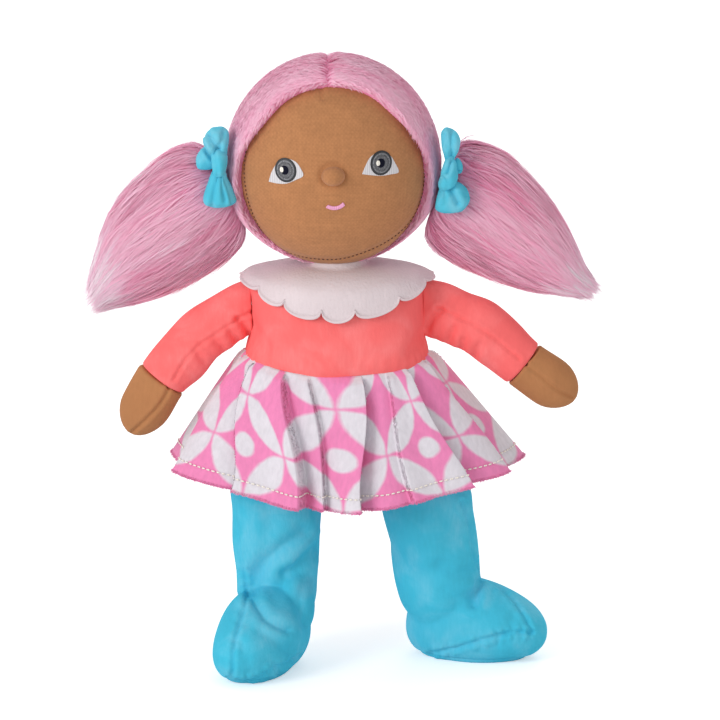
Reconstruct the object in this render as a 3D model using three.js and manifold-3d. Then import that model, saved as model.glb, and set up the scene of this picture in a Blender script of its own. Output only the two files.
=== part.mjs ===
// A soft rag doll, standing, in millimetres: +Z up, the face towards -Y, both soles on Z = 0.
// Every fabric cover is a thin open shell round its own stuffing, sewn pieces lie one gap apart,
// and each flat seam that a limb hangs from is a thin rounded edge on the axis that it folds about.
// Left and right are the viewer's, who looks along +Y.
import * as THREE from "three";
import { mergeVertices } from "three/addons/utils/BufferGeometryUtils.js";
import Module from "manifold-3d";

const wasm = await Module();
wasm.setup();

// Fabric
const gap = 0.3; // between pieces that are sewn to each other or filled
const wall = 1.5; // velour with its seam allowance
const fillGap = 0.7; // between a cover's lining and the coarser facets of its stuffing
const torsoSides = 18;
const headSides = 22;
const armSides = 12;
const legSides = 14;

// Head
const headHalfWidth = 58.5;
const headHalfDepth = 50;
const headHalfHeight = 61;
const headCentreHeight = 308.6;
const headTilt = -3; // degrees, the crown leans to the left
const pile = 6; // depth of the plush on the crown and sides
const hairlineTopBack = 25; // how far the hairline lies in front of the head's middle at the crown
const hairlineChinBack = 10; // and under the chin
const eyeSpacing = 57;
const eyeHeight = 8; // above the head's middle
const eyeWhiteLength = 20.5;
const eyeWhiteHeight = 10.5;
const eyeWhiteDrop = 1.5; // its middle lies that much under the iris's
const irisDiameter = 13.6;
const pupilDiameter = 6.4;
const patchThickness = 0.6; // of each embroidered patch
const noseHeight = 4;
const noseWidth = 14.5;
const noseTall = 12.5;
const noseReach = 10;
const mouthDrop = 15.5; // below the head's middle
const mouthWidth = 10;
const mouthSag = 2;
const mouthThick = 1.9;

// Neck
const neckRadius = 16.5;
const neckDomeRadius = 19;
const neckPivotHeight = 262;
const neckRootHeight = 222;
const neckHoleRadius = 22;
const neckHoleTop = 256;

// Torso
const hipHeight = 148;
const hipSeamRadius = 1.4;
const torsoBottomHeight = hipHeight + hipSeamRadius + gap;
const waistHeight = 190;
const waistHalfWidth = 55;
const waistHalfDepth = 36.5;
const seatHalfWidth = 52;
const chestHalfDepth = 36;
const shoulderHeight = 233;
const shoulderHalfWidth = 51.5;
const neckBaseHeight = 243.5;
const seamEdge = 1.5; // half the thickness of a flat sewn edge
const torsoFullness = 2.3;

// Collar
const collarThickness = 2.2;
const collarStandHeight = 250;
const collarSideReach = 58;
const collarFrontReach = 40;
const collarSideHeight = 238.5;
const collarFrontHeight = 220;
const scallopCount = 14;
const scallopDepth = 7.5;
const scallopTurn = 3; // degrees that the middle scallop lies to the right

// Arms: each is one tube of sleeve and hand, sewn flat into the side seam
const armSeamHeight = 221;
const armSeamTall = 34;
const armSeamOut = 2.5; // from the torso's side to the axis of the seam
const upperArm = 35;
const foreArm = 34;
const hand = 38;
const armHalfTall = 16.8;
const wristHalfTall = 15.5;
const handHalfTall = 15.2;
const armHalfDepth = 12.5;
const armDroop = { left: [35, 49, 60], right: [23, 41, 37] }; // degrees under the horizontal

// Legs: each is one boot shaped bag, sewn flat into the bottom seam
const legGapAtHip = 8;
const thighHalfWidth = 27.5;
const thighHalfDepth = 25;
const ankleHalfWidth = 24;
const ankleHalfDepth = 22;
const thighHeight = 110;
const shinHeight = 74;
const ankleHeight = 48;
const legOut = { left: [37, 37, 36], right: [51, 58, 63] }; // of thigh, shin and ankle
const ankleBack = 6; // the legs lean back a little, so that the doll stands over its feet
const footLength = 87;
const footFullness = 2.2;
const footBluntness = 2.9;
const footHalfWidth = 25.5;
const footHalfTall = 27.5;
const toeHalfTall = 21;
const footSunk = 4.5; // the foot's round underside is cut flat by this much
const footHeel = { left: [-29, 16], right: [42, 17] }; // its place in plan
const footTurn = { left: 203, right: 102 }; // degrees from +Y, through +X
const soleThickness = 2;

// Skirt
const skirtLength = 79;
const skirtThickness = 1.4;
const skirtSideFlare = 33; // degrees from the vertical
const skirtFrontFlare = 21;
const skirtSway = 4; // the hem swings to the right
const waistDip = 3.5; // the waist seam is that much lower in front and behind
const foldDepth = 7.5;
const foldHalfAngle = 7;
const foldAngles = [-165, -139, -115, -90, -68, -44, -15, 8, 30, 56, 80, 104, 130, 156];

// Pigtails: each turns about an axis along Y, just outside the head's side
const pigtailRootRadius = 12;
const pigtailLength = 104;
const pigtailHalfTall = 37;
const pigtailHalfDepth = 20.5;
const pigtailRootHeight = 297;
const pigtailDroop = { left: 44, right: 47 }; // degrees under the head's own level
const pigtailSag = { left: 1.5, right: 6 };

// Bows
const bowHeight = { left: 318, right: 312 };
const bowForward = 21;
const knotHalf = [8, 6.5, 8];
const bowHalfDepth = 7;
const bowHalfWidth = 12;
const bowUpper = 25;
const bowLower = 32;
const bowOut = 7.5; // of the knot's middle from the plush

const radians = THREE.MathUtils.degToRad;
const capLeans = [0.1, 0.4, 0.7].map((share) => Math.cos((Math.PI / 2) * share)); // rings of an end
const leastHalf = 0.2; // of a lining where its cover is flat
const up = new THREE.Vector3(0, 0, 1);
const sides = { left: -1, right: 1 };

// A closed surface as a solid, turned the right way out.
function solid(geometry) {
  const bare = new THREE.BufferGeometry();
  const source = geometry.index ? geometry.toNonIndexed() : geometry;
  bare.setAttribute("position", source.getAttribute("position"));
  const merged = mergeVertices(bare, 1e-4);
  const triVerts = new Uint32Array(merged.index.array);
  const vertProperties = merged.attributes.position.array;
  const made = new wasm.Manifold(new wasm.Mesh({ numProp: 3, vertProperties, triVerts }));
  if (made.volume() > 0) return made;
  for (let i = 0; i < triVerts.length; i += 3) {
    [triVerts[i], triVerts[i + 1]] = [triVerts[i + 1], triVerts[i]];
  }
  return new wasm.Manifold(new wasm.Mesh({ numProp: 3, vertProperties, triVerts }));
}

// A skin over rings of equally many points, with a fan from each end ring to its tip.
function skin(rings, firstTip, lastTip) {
  const count = rings[0].length;
  const points = [...rings.flat(), firstTip, lastTip];
  const first = points.length - 2;
  const last = points.length - 1;
  const index = [];
  for (let j = 0; j < count; j += 1) {
    const k = (j + 1) % count;
    for (let i = 0; i + 1 < rings.length; i += 1) {
      const a = i * count;
      index.push(a + j, a + k, a + count + j, a + k, a + count + k, a + count + j);
    }
    const top = (rings.length - 1) * count;
    index.push(first, k, j, last, top + j, top + k);
  }
  const geometry = new THREE.BufferGeometry().setFromPoints(points);
  geometry.setIndex(index);
  return solid(geometry);
}

// A skin over closed sections that follow each other round a closed loop.
function hoop(sections) {
  const count = sections[0].length;
  const index = [];
  sections.forEach((section, i) => {
    const a = i * count;
    const b = ((i + 1) % sections.length) * count;
    for (let j = 0; j < count; j += 1) {
      const k = (j + 1) % count;
      index.push(a + j, a + k, b + j, a + k, b + k, b + j);
    }
  });
  const geometry = new THREE.BufferGeometry().setFromPoints(sections.flat());
  geometry.setIndex(index);
  return solid(geometry);
}

// A point of a rounded section: fullness 2 is an ellipse, more is squarer.
function roundPoint(angle, halfWide, halfDeep, fullness) {
  const c = Math.cos(angle);
  const s = Math.sin(angle);
  const power = 2 / fullness;
  return [
    halfWide * Math.sign(c) * Math.abs(c) ** power,
    halfDeep * Math.sign(s) * Math.abs(s) ** power,
  ];
}

// A smooth line through places, or through sizes that change along it.
function smoothLine(points) {
  return new THREE.CatmullRomCurve3(points, false, "catmullrom", 0.5);
}

// How far a form has closed at a place that lies that deep in its rounded end.
function closing(inCap, cap) {
  return cap && inCap > 0 ? Math.sqrt(1 - (inCap / cap) ** 2) : 1;
}

// A soft form that swells and tapers through stations of { middle, wide, deep, tilt }.
// The section's wide direction turns by tilt, in degrees, from +X towards +Z, and deep is along Y.
// inset shrinks the form for a lining or a filling; from and to cut its length, as shares of it;
// roundFrom and roundTo are the shares of its length over which its ends close.
function swelling(stations, options = {}) {
  const { inset = 0, from = 0, to = 1, steps = 12, around = legSides, fullness = 2 } = options;
  const { roundFrom = 0, roundTo = 0 } = options;
  const path = smoothLine(stations.map((s) => s.middle));
  const size = smoothLine(
    stations.map((s) => new THREE.Vector3(s.wide, s.deep, radians(s.tilt ?? 0))),
  );
  const shares = new Set();
  for (let i = 0; i <= steps; i += 1) shares.add(from + ((to - from) * i) / steps);
  for (const lean of capLeans) {
    if (roundFrom) shares.add(from + roundFrom * (1 - lean));
    if (roundTo) shares.add(to - roundTo * (1 - lean));
  }
  const isTip = (t, end, cap) => cap > 0 && Math.abs(t - end) < 1e-9;
  const rings = [...shares]
    .filter((t) => !isTip(t, from, roundFrom) && !isTip(t, to, roundTo))
    .sort((a, b) => a - b)
    .map((t) => {
      const middle = path.getPoint(t);
      const half = size.getPoint(t);
      const close = closing(from + roundFrom - t, roundFrom) * closing(t - to + roundTo, roundTo);
      const wide = Math.max(half.x - inset, leastHalf) * close;
      const deep = Math.max(half.y - inset, leastHalf) * close;
      const ring = [];
      for (let j = 0; j < around; j += 1) {
        const [a, b] = roundPoint((2 * Math.PI * j) / around, wide, deep, fullness);
        ring.push(new THREE.Vector3(a * Math.cos(half.z), b, a * Math.sin(half.z)).add(middle));
      }
      return ring;
    });
  return skin(rings, path.getPoint(from), path.getPoint(to));
}

// Everything on the far side of a plane, within reach of the doll.
function beyond(point, direction, away = gap / 2) {
  const reach = 400;
  const block = new THREE.BoxGeometry(reach, reach, reach);
  const ahead = direction.clone().normalize();
  const turn = new THREE.Quaternion().setFromUnitVectors(up, ahead);
  block.applyQuaternion(turn);
  const place = ahead.multiplyScalar(reach / 2 + away).add(point);
  block.translate(place.x, place.y, place.z);
  return solid(block);
}

// An egg about a middle point, with its three half sizes.
function egg(middle, half, around = headSides, rings = Math.round(around * 0.66)) {
  const ball = new THREE.SphereGeometry(1, around, rings);
  ball.rotateX(Math.PI / 2);
  ball.scale(half[0], half[1], half[2]);
  ball.translate(middle.x, middle.y, middle.z);
  return solid(ball);
}

function lathe(profile, around = 18) {
  const turned = new THREE.LatheGeometry(
    profile.map(([r, z]) => new THREE.Vector2(r, z)),
    around,
  );
  turned.rotateX(Math.PI / 2);
  return solid(turned);
}

const colours = {
  skin: 0xbb8452,
  plush: 0xf0a0cc,
  velourBlue: 0x4cc2de,
  velourCoral: 0xff7a78,
  collarPlush: 0xe4d8da,
  skirtPrint: 0xf09cc8,
  filling: 0xf2f0ea,
  eyeWhite: 0xe8e4e6,
  iris: 0x6e6e72,
  pupil: 0x1e2030,
  mouthThread: 0xf0a0c8,
};

const group = new THREE.Group();

// One named sub-part of the doll, in the colour of its fabric.
function piece(name, body, colour) {
  const mesh = body.getMesh();
  const geometry = new THREE.BufferGeometry();
  geometry.setAttribute("position", new THREE.BufferAttribute(mesh.vertProperties, mesh.numProp));
  geometry.setIndex(new THREE.BufferAttribute(mesh.triVerts, 1));
  geometry.computeVertexNormals();
  const finish = new THREE.MeshStandardMaterial({ color: colours[colour], roughness: 0.9 });
  finish.metalness = 0;
  const made = new THREE.Mesh(geometry, finish);
  made.name = name;
  group.add(made);
  return body;
}

// Neck: a firm stuffed roll, round on top, that the head sits and turns on.
const neckPivot = new THREE.Vector3(0, 0, neckPivotHeight);

function domeProfile(radius, startRadius, steps) {
  const start = Math.PI - Math.asin(startRadius / radius);
  const points = [];
  for (let i = 0; i <= steps; i += 1) {
    const angle = start * (1 - i / steps);
    points.push([radius * Math.sin(angle), neckPivotHeight + radius * Math.cos(angle)]);
  }
  points[steps][0] = 0;
  return points;
}

function neckCore(grow = 0) {
  const radius = neckRadius + grow;
  const dome = domeProfile(neckDomeRadius + grow, radius, 9);
  return lathe([[0, neckRootHeight - grow], [radius, neckRootHeight - grow], ...dome]);
}

// The hollow under the head that leaves the neck and the collar free as the head nods.
function neckSocket() {
  const dome = domeProfile(neckDomeRadius + gap, neckDomeRadius + gap - 0.01, 7);
  const below = headCentreHeight - headHalfHeight - 2 * pile;
  return lathe([[0, below], [neckHoleRadius + 1.5, below], [neckHoleRadius, neckHoleTop], ...dome]);
}

piece("neck_core", neckCore(), "skin");

// Torso: a bag of a front and a back panel that closes flat at the bottom.
const torsoStations = [
  [torsoBottomHeight, seatHalfWidth, seamEdge],
  [torsoBottomHeight + 8, seatHalfWidth + 2.5, 9.5],
  [torsoBottomHeight + 18, seatHalfWidth + 4.5, 19.5],
  [torsoBottomHeight + 29, waistHalfWidth + 1, 29.5],
  [waistHeight, waistHalfWidth, waistHalfDepth],
  [waistHeight + 12, waistHalfWidth - 1.5, chestHalfDepth + 1.5],
  [armSeamHeight - 4, shoulderHalfWidth + 0.3, chestHalfDepth],
  [shoulderHeight - 5, shoulderHalfWidth, chestHalfDepth - 2],
  [shoulderHeight, shoulderHalfWidth, chestHalfDepth - 4],
  [neckBaseHeight - 5, shoulderHalfWidth - 6, chestHalfDepth - 8],
  [neckBaseHeight - 2, shoulderHalfWidth - 16, chestHalfDepth - 13],
  [neckBaseHeight, neckRadius + 3.5, neckRadius + 1.5],
].map(([z, wide, deep]) => ({ middle: new THREE.Vector3(0, 0, z), wide, deep }));

function torso(inset, options = {}) {
  const shape = { steps: 14, around: torsoSides, fullness: torsoFullness };
  return swelling(torsoStations, { inset, ...shape, ...options });
}

const torsoMiddle = new THREE.Vector3(0, 0, waistHeight);
const front = new THREE.Vector3(0, -1, 0);
const back = new THREE.Vector3(0, 1, 0);
const neckHole = neckCore(gap);
const torsoShell = torso(0).subtract(torso(wall, { from: 0.05, to: 0.985 })).subtract(neckHole);
piece("torso_front", torsoShell.intersect(beyond(torsoMiddle, front)), "velourCoral");
piece("torso_back", torsoShell.intersect(beyond(torsoMiddle, back)), "velourCoral");
const torsoFill = torso(wall + fillGap, { from: 0.065, to: 0.975, steps: 11, around: torsoSides / 2 });
piece("torso_stuffing", torsoFill.subtract(neckCore(gap)), "filling");

// The bound seam under the torso that both legs hang from.
function hipSeam() {
  const length = 2 * seatHalfWidth;
  const rod = new THREE.CapsuleGeometry(hipSeamRadius, length - 2 * hipSeamRadius, 3, 10);
  rod.rotateZ(Math.PI / 2);
  rod.translate(0, 0, hipHeight);
  return solid(rod);
}

piece("hip_seam", hipSeam(), "velourBlue");

// Head: one egg of fabric, the face in front of a slanted hairline and the plush behind it.
const headMiddle = new THREE.Vector3(0, 0, headCentreHeight);
const headSize = (grow) => [headHalfWidth + grow, headHalfDepth + grow, headHalfHeight + grow];
const headAxis = new THREE.Vector3(0, 1, 0);
const headLean = radians(headTilt);

// Tips a solid of the head with it, about the middle of the neck's dome.
function leaned(body) {
  const mesh = body.getMesh();
  const geometry = new THREE.BufferGeometry();
  geometry.setAttribute("position", new THREE.BufferAttribute(mesh.vertProperties, 3));
  geometry.setIndex(new THREE.BufferAttribute(mesh.triVerts, 1));
  geometry.translate(-neckPivot.x, -neckPivot.y, -neckPivot.z);
  geometry.applyQuaternion(new THREE.Quaternion().setFromAxisAngle(headAxis, headLean));
  geometry.translate(neckPivot.x, neckPivot.y, neckPivot.z);
  return solid(geometry);
}

const hairlineTop = new THREE.Vector3(0, -hairlineTopBack, headCentreHeight + headHalfHeight * 0.87);
const hairlineChin = new THREE.Vector3(0, -hairlineChinBack, headCentreHeight - headHalfHeight * 0.97);
const hairlineRun = hairlineTop.clone().sub(hairlineChin);
const faceward = new THREE.Vector3(0, -hairlineRun.z, hairlineRun.y).normalize();
const faceSide = beyond(hairlineTop, faceward);
const hairSide = beyond(hairlineTop, faceward.clone().negate());
const socket = neckSocket();
const headLining = egg(headMiddle, headSize(-wall));
const faceShell = egg(headMiddle, headSize(0)).subtract(headLining).subtract(socket);
piece("face_panel", leaned(faceShell.intersect(faceSide)), "skin");

const crownRise = pile / 2; // the plush is full at the crown and brushed flat under the head

function plushEgg(grow) {
  const middle = headMiddle.clone().setZ(headCentreHeight + crownRise);
  const [wide, deep, tall] = headSize(pile + grow);
  return egg(middle, [wide, deep, tall - crownRise]);
}

const hairShell = plushEgg(0).subtract(headLining).subtract(socket).intersect(hairSide);
const leftward = new THREE.Vector3(-1, 0, 0);
const rightward = new THREE.Vector3(1, 0, 0);
piece("hair_cap_left", leaned(hairShell.intersect(beyond(headMiddle, leftward))), "plush");
piece("hair_cap_right", leaned(hairShell.intersect(beyond(headMiddle, rightward))), "plush");
const headFill = egg(headMiddle, headSize(-wall - fillGap), headSides / 2).subtract(socket);
piece("head_stuffing", leaned(headFill), "filling");

// A thin patch of the given outline, in X and Z, laid on the face and standing off it.
function facePatch(outline, standOff, thickness) {
  const block = new THREE.ExtrudeGeometry(outline, {
    depth: 2 * headHalfDepth,
    bevelEnabled: false,
    curveSegments: 6,
  });
  block.rotateX(Math.PI / 2);
  block.translate(0, 0, headCentreHeight);
  const outer = egg(headMiddle, headSize(standOff + thickness), 48, 32);
  const inner = egg(headMiddle, headSize(standOff), 48, 32);
  return solid(block).intersect(outer.subtract(inner));
}

function disc(x, z, diameter) {
  return new THREE.Shape().absarc(x, z, diameter / 2, 0, 2 * Math.PI);
}

// The white is a low triangle with soft corners, under the iris.
function eyeWhite(x, z) {
  const half = eyeWhiteLength / 2;
  const tall = eyeWhiteHeight / 2;
  const shape = new THREE.Shape();
  shape.moveTo(x - half, z - 0.6 * tall);
  shape.quadraticCurveTo(x - 0.5 * half, z + tall, x, z + tall);
  shape.quadraticCurveTo(x + 0.5 * half, z + tall, x + half, z - 0.6 * tall);
  shape.quadraticCurveTo(x, z - 1.4 * tall, x - half, z - 0.6 * tall);
  return shape;
}

for (const [name, sign] of Object.entries(sides)) {
  const x = (sign * eyeSpacing) / 2;
  const layer = patchThickness / 2;
  const white = facePatch(eyeWhite(x, eyeHeight - eyeWhiteDrop), gap, layer);
  piece(`eye_white_${name}`, leaned(white), "eyeWhite");
  const lift = gap + layer + gap;
  const ring = disc(x, eyeHeight, irisDiameter);
  ring.holes.push(new THREE.Path().absarc(x, eyeHeight, pupilDiameter / 2 + gap, 0, 2 * Math.PI));
  piece(`iris_${name}`, leaned(facePatch(ring, lift, patchThickness)), "iris");
  const pupil = disc(x, eyeHeight, pupilDiameter);
  piece(`pupil_${name}`, leaned(facePatch(pupil, lift, patchThickness)), "pupil");
}

// The mouth is a short bar of satin stitches that sags in its middle.
function mouthOutline() {
  const half = mouthWidth / 2;
  const shape = new THREE.Shape();
  shape.moveTo(-half, -mouthDrop);
  shape.quadraticCurveTo(0, -mouthDrop - 2 * mouthSag, half, -mouthDrop + 0.4);
  shape.lineTo(half, -mouthDrop + 0.4 - mouthThick);
  shape.quadraticCurveTo(0, -mouthDrop - 2 * mouthSag - mouthThick, -half, -mouthDrop - mouthThick);
  return shape;
}

piece("mouth_stitch", leaned(facePatch(mouthOutline(), gap, 2 * patchThickness)), "mouthThread");

const noseMiddle = new THREE.Vector3(0, -headHalfDepth - gap, headCentreHeight + noseHeight);
const noseBall = egg(noseMiddle, [noseWidth / 2, noseReach, noseTall / 2], 16, 10);
const faceRelief = egg(headMiddle, headSize(gap), 48, 32);
piece("nose", leaned(noseBall.subtract(faceRelief)), "skin");

// Pigtails: a narrow round root beside the head that flares at once, a full middle and a tip.
const plushHalfWidth = headHalfWidth + pile;
const plushMiddleHeight = headCentreHeight + crownRise;
const plushHalfHeight = headHalfHeight + pile - crownRise;
const rootShare = (pigtailRootHeight - plushMiddleHeight) / plushHalfHeight;
const pivotOut = plushHalfWidth * Math.sqrt(1 - rootShare ** 2) + pigtailRootRadius + gap;

function pigtail(sign, droop, sag) {
  const angle = radians(droop);
  const along = new THREE.Vector3(sign * Math.cos(angle), 0, -Math.sin(angle));
  const below = new THREE.Vector3(-sign * Math.sin(angle), 0, -Math.cos(angle));
  const pivot = new THREE.Vector3(sign * pivotOut, 0, pigtailRootHeight);
  const tilt = sign > 0 ? 90 - droop : 90 + droop;
  const root = pigtailRootRadius;
  const stations = [
    [-root, 1.1 * root, 0.5, 0],
    [-0.4 * root, 1.25 * root, 0.5, 0],
    [0.02 * pigtailLength, 0.74 * pigtailHalfTall, 0.52, 0.3],
    [0.12 * pigtailLength, 0.96 * pigtailHalfTall, 0.62, 0.9],
    [0.29 * pigtailLength, pigtailHalfTall, 0.82, 1],
    [0.48 * pigtailLength, 0.91 * pigtailHalfTall, 1, 0.9],
    [0.63 * pigtailLength, 0.75 * pigtailHalfTall, 0.95, 0.7],
    [0.77 * pigtailLength, 0.56 * pigtailHalfTall, 0.8, 0.4],
    [0.89 * pigtailLength, 0.35 * pigtailHalfTall, 0.58, 0.15],
    [pigtailLength, 0.15 * pigtailHalfTall, 0.3, 0],
  ].map(([run, wide, deep, low]) => ({
    middle: pivot.clone().addScaledVector(along, run).addScaledVector(below, low * sag),
    wide,
    deep: deep * pigtailHalfDepth,
    tilt,
  }));
  return swelling(stations, { steps: 12, around: 16, roundFrom: 0.19, roundTo: 0.06 });
}

for (const [name, sign] of Object.entries(sides)) {
  piece(`pigtail_${name}`, leaned(pigtail(sign, pigtailDroop[name], pigtailSag[name])), "plush");
}

// Bows: an upper and a lower puffed loop at a knot, against the plush in front of each pigtail.
const plushRelief = plushEgg(gap);

function bowLoop(start, length, lean) {
  const tip = start.clone().add(new THREE.Vector3(lean, 0, length));
  const stations = [
    [0, 0.55, 0.7],
    [0.3, 0.86, 1],
    [0.6, 1, 1],
    [1, 0.9, 0.75],
  ].map(([share, wide, deep]) => ({
    middle: start.clone().lerp(tip, share),
    wide: wide * bowHalfWidth,
    deep: deep * bowHalfDepth,
    tilt: 0,
  }));
  return swelling(stations, { steps: 4, around: 12, roundTo: 0.45, fullness: 2.4 });
}

for (const [name, sign] of Object.entries(sides)) {
  const out = Math.sqrt(1 - (bowForward / (headHalfDepth + pile)) ** 2) * plushHalfWidth;
  const knotMiddle = new THREE.Vector3(sign * (out + bowOut), -bowForward, bowHeight[name]);
  const knot = egg(knotMiddle, knotHalf, 12).subtract(plushRelief);
  const knotSpace = egg(knotMiddle, knotHalf.map((h) => h + gap), 12);
  const loops = { upper: bowUpper, lower: -bowLower };
  piece(`bow_knot_${name}`, leaned(knot), "velourBlue");
  for (const [place, length] of Object.entries(loops)) {
    const start = knotMiddle.clone();
    start.z += Math.sign(length) * 0.5 * knotHalf[2];
    const loop = bowLoop(start, length - Math.sign(length) * 4, sign * 1.5);
    piece(`bow_${place}_${name}`, leaned(loop.subtract(knotSpace).subtract(plushRelief)), "velourBlue");
  }
}

// Collar: a scalloped ring of plush that stands at the neck and drapes over the shoulders.
const collarStand = neckRadius + gap;
const collarFront = [
  [collarStand, collarStandHeight],
  [collarStand + 2, collarStandHeight - 4],
  [0.63 * collarFrontReach, neckBaseHeight + 0.6],
  [0.81 * collarFrontReach, neckBaseHeight - 3],
  [0.94 * collarFrontReach, neckBaseHeight - 9.5],
  [collarFrontReach, collarFrontHeight],
];
const collarSide = [
  [collarStand, collarStandHeight],
  [collarStand + 2, collarStandHeight - 4],
  [0.5 * collarSideReach, neckBaseHeight + 1.6],
  [0.7 * collarSideReach, neckBaseHeight + 0.4],
  [0.87 * collarSideReach, neckBaseHeight - 1.6],
  [collarSideReach, collarSideHeight],
];

function collar() {
  const perScallop = 5;
  const around = scallopCount * perScallop;
  const sections = [];
  for (let j = 0; j < around; j += 1) {
    const share = (j % perScallop) / perScallop;
    const angle = (2 * Math.PI * (j - perScallop / 2)) / around + radians(scallopTurn);
    const lobe = Math.sqrt(1 - (2 * share - 1) ** 2);
    const [frontPart, sidePart] = [Math.cos(angle) ** 2, Math.sin(angle) ** 2];
    const outward = new THREE.Vector2();
    const line = collarFront.map(([rf, zf], i) => {
      const [rs, zs] = collarSide[i];
      outward.set(rs * Math.sin(angle), -rf * Math.cos(angle));
      return new THREE.Vector2(outward.length(), zf * frontPart + zs * sidePart);
    });
    outward.normalize();
    const end = line[line.length - 1];
    const run = end.clone().sub(line[line.length - 2]);
    const cut = (scallopDepth * (1 - lobe)) / run.length();
    end.addScaledVector(run, -Math.min(cut, 0.9));
    const normals = line.map((p, i) => {
      const before = line[Math.max(i - 1, 0)];
      const after = line[Math.min(i + 1, line.length - 1)];
      const d = after.clone().sub(before).normalize();
      return new THREE.Vector2(-d.y, d.x);
    });
    const over = line.map((p, i) => p.clone().addScaledVector(normals[i], collarThickness));
    const section = [...line, ...over.reverse()];
    sections.push(section.map((p) => new THREE.Vector3(p.x * outward.x, p.x * outward.y, p.y)));
  }
  return hoop(sections);
}

piece("collar", collar(), "collarPlush");

// Skirt: gathered at the waist seam, flared, with its main folds deepening to the hem.
function skirtFold(angle, share) {
  const inward = foldAngles.reduce((sum, at) => {
    const off = ((angle - at + 540) % 360) - 180;
    return sum + Math.exp(-((off / foldHalfAngle) ** 2));
  }, 0);
  return -foldDepth * share ** 1.2 * (inward - 0.4);
}

function skirt() {
  const around = 84;
  const rows = 5;
  const sections = [];
  for (let j = 0; j < around; j += 1) {
    const degrees = (360 * j) / around - 180;
    const angle = radians(degrees);
    const across = Math.sin(angle);
    const ahead = Math.cos(angle);
    const flare = radians(skirtSideFlare * across ** 2 + skirtFrontFlare * ahead ** 2);
    const dip = waistDip * Math.cos(2 * angle);
    const [x, y] = roundPoint(angle - Math.PI / 2, 1, 1, torsoFullness);
    const inside = [];
    const outside = [];
    for (let i = 0; i <= rows; i += 1) {
      const share = i / rows;
      const full = 1 - share;
      const slack = 2 * gap + waistDip * share;
      const wide = waistHalfWidth + slack;
      const deep = waistHalfDepth + slack;
      const out = skirtLength * share * Math.sin(flare) + skirtFold(degrees, share);
      const z = waistHeight - dip - skirtLength * share * Math.cos(flare);
      const place = (grow) => new THREE.Vector3(
        wide * (x * full + across * share) + (out + grow) * across + skirtSway * share,
        deep * (y * full - ahead * share) - (out + grow) * ahead,
        z,
      );
      inside.push(place(0));
      outside.push(place(skirtThickness));
    }
    sections.push([...inside, ...outside.reverse()]);
  }
  return hoop(sections);
}

piece("skirt", skirt(), "skirtPrint");

// Arms: the seam edge, upper arm, forearm and hand on one bent middle line.
function armStations(sign, droop) {
  const reach = (degrees, length) => {
    const angle = radians(degrees);
    return new THREE.Vector3(sign * length * Math.cos(angle), 0, -length * Math.sin(angle));
  };
  const tiltOf = (degrees) => (sign > 0 ? 90 - degrees : 90 + degrees);
  const [upper, fore, tip] = droop;
  const seam = new THREE.Vector3(sign * (shoulderHalfWidth + armSeamOut), 0, armSeamHeight);
  const elbow = seam.clone().add(reach(upper, upperArm));
  const wrist = elbow.clone().add(reach(fore, foreArm));
  const end = wrist.clone().add(reach(tip, hand));
  const between = (a, b, share) => a.clone().lerp(b, share);
  const row = (middle, wide, deep, degrees) => ({ middle, wide, deep, tilt: tiltOf(degrees) });
  return [
    row(seam.clone().setX(seam.x - sign * seamEdge), armSeamTall / 2, seamEdge, 0),
    row(between(seam, elbow, 0.25), armSeamTall / 2, 0.42 * armHalfDepth, 0.35 * upper),
    row(between(seam, elbow, 0.6), armHalfTall, 0.86 * armHalfDepth, 0.8 * upper),
    row(elbow, armHalfTall, armHalfDepth, (upper + fore) / 2),
    row(between(elbow, wrist, 0.5), armHalfTall - 0.3, armHalfDepth, fore),
    row(wrist, wristHalfTall, 0.96 * armHalfDepth, (fore + tip) / 2),
    row(between(wrist, end, 0.5), handHalfTall, armHalfDepth, tip),
    row(end, 0.86 * handHalfTall, 0.8 * armHalfDepth, tip),
  ];
}

const limbRound = { roundFrom: 0.035, roundTo: 0.13 };

for (const [name, sign] of Object.entries(sides)) {
  const stations = armStations(sign, armDroop[name]);
  const wrist = stations[5].middle;
  const alongHand = stations[6].middle.clone().sub(stations[4].middle);
  const outer = swelling(stations, { steps: 13, around: armSides, ...limbRound });
  const linedPart = { from: 0.13, to: 0.985, roundTo: 0.12, around: armSides };
  const shell = outer.subtract(swelling(stations, { inset: wall, ...linedPart }));
  piece(`sleeve_${name}`, shell.intersect(beyond(wrist, alongHand.clone().negate())), "velourCoral");
  piece(`hand_${name}`, shell.intersect(beyond(wrist, alongHand)), "skin");
  const fill = { inset: wall + fillGap, from: 0.16, to: 0.975, around: armSides / 2, roundTo: 0.11 };
  piece(`arm_stuffing_${name}`, swelling(stations, fill), "filling");
}

// Legs: a tube that opens into a foot, with a flat sole panel under it.
function legTube(sign, out, inset, options) {
  const hipMiddle = (seatHalfWidth + legGapAtHip / 2) / 2;
  const hipWide = (seatHalfWidth - legGapAtHip / 2) / 2;
  const top = hipHeight - hipSeamRadius - gap;
  const rows = [
    [top, hipMiddle, hipWide, seamEdge * 0.8],
    [top - 8, hipMiddle + 1, hipWide + 1.5, 7.5],
    [top - 18, hipMiddle + 0.3 * (out[0] - hipMiddle), hipWide + 2.5, 15.5],
    [thighHeight, out[0], thighHalfWidth, 0.93 * thighHalfDepth],
    [(thighHeight + shinHeight) / 2, (out[0] + out[1]) / 2, thighHalfWidth, thighHalfDepth],
    [shinHeight, out[1], thighHalfWidth - 1, thighHalfDepth - 1],
    [ankleHeight, out[2], ankleHalfWidth, ankleHalfDepth],
    [0.35 * ankleHeight, out[2] - 1, ankleHalfWidth, ankleHalfDepth],
  ].map(([z, x, wide, deep]) => {
    const lean = Math.min((top - z) / (top - ankleHeight), 1);
    return { middle: new THREE.Vector3(sign * x, ankleBack * lean, z), wide, deep };
  });
  return swelling(rows, { inset, steps: 10, ...options });
}

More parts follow.
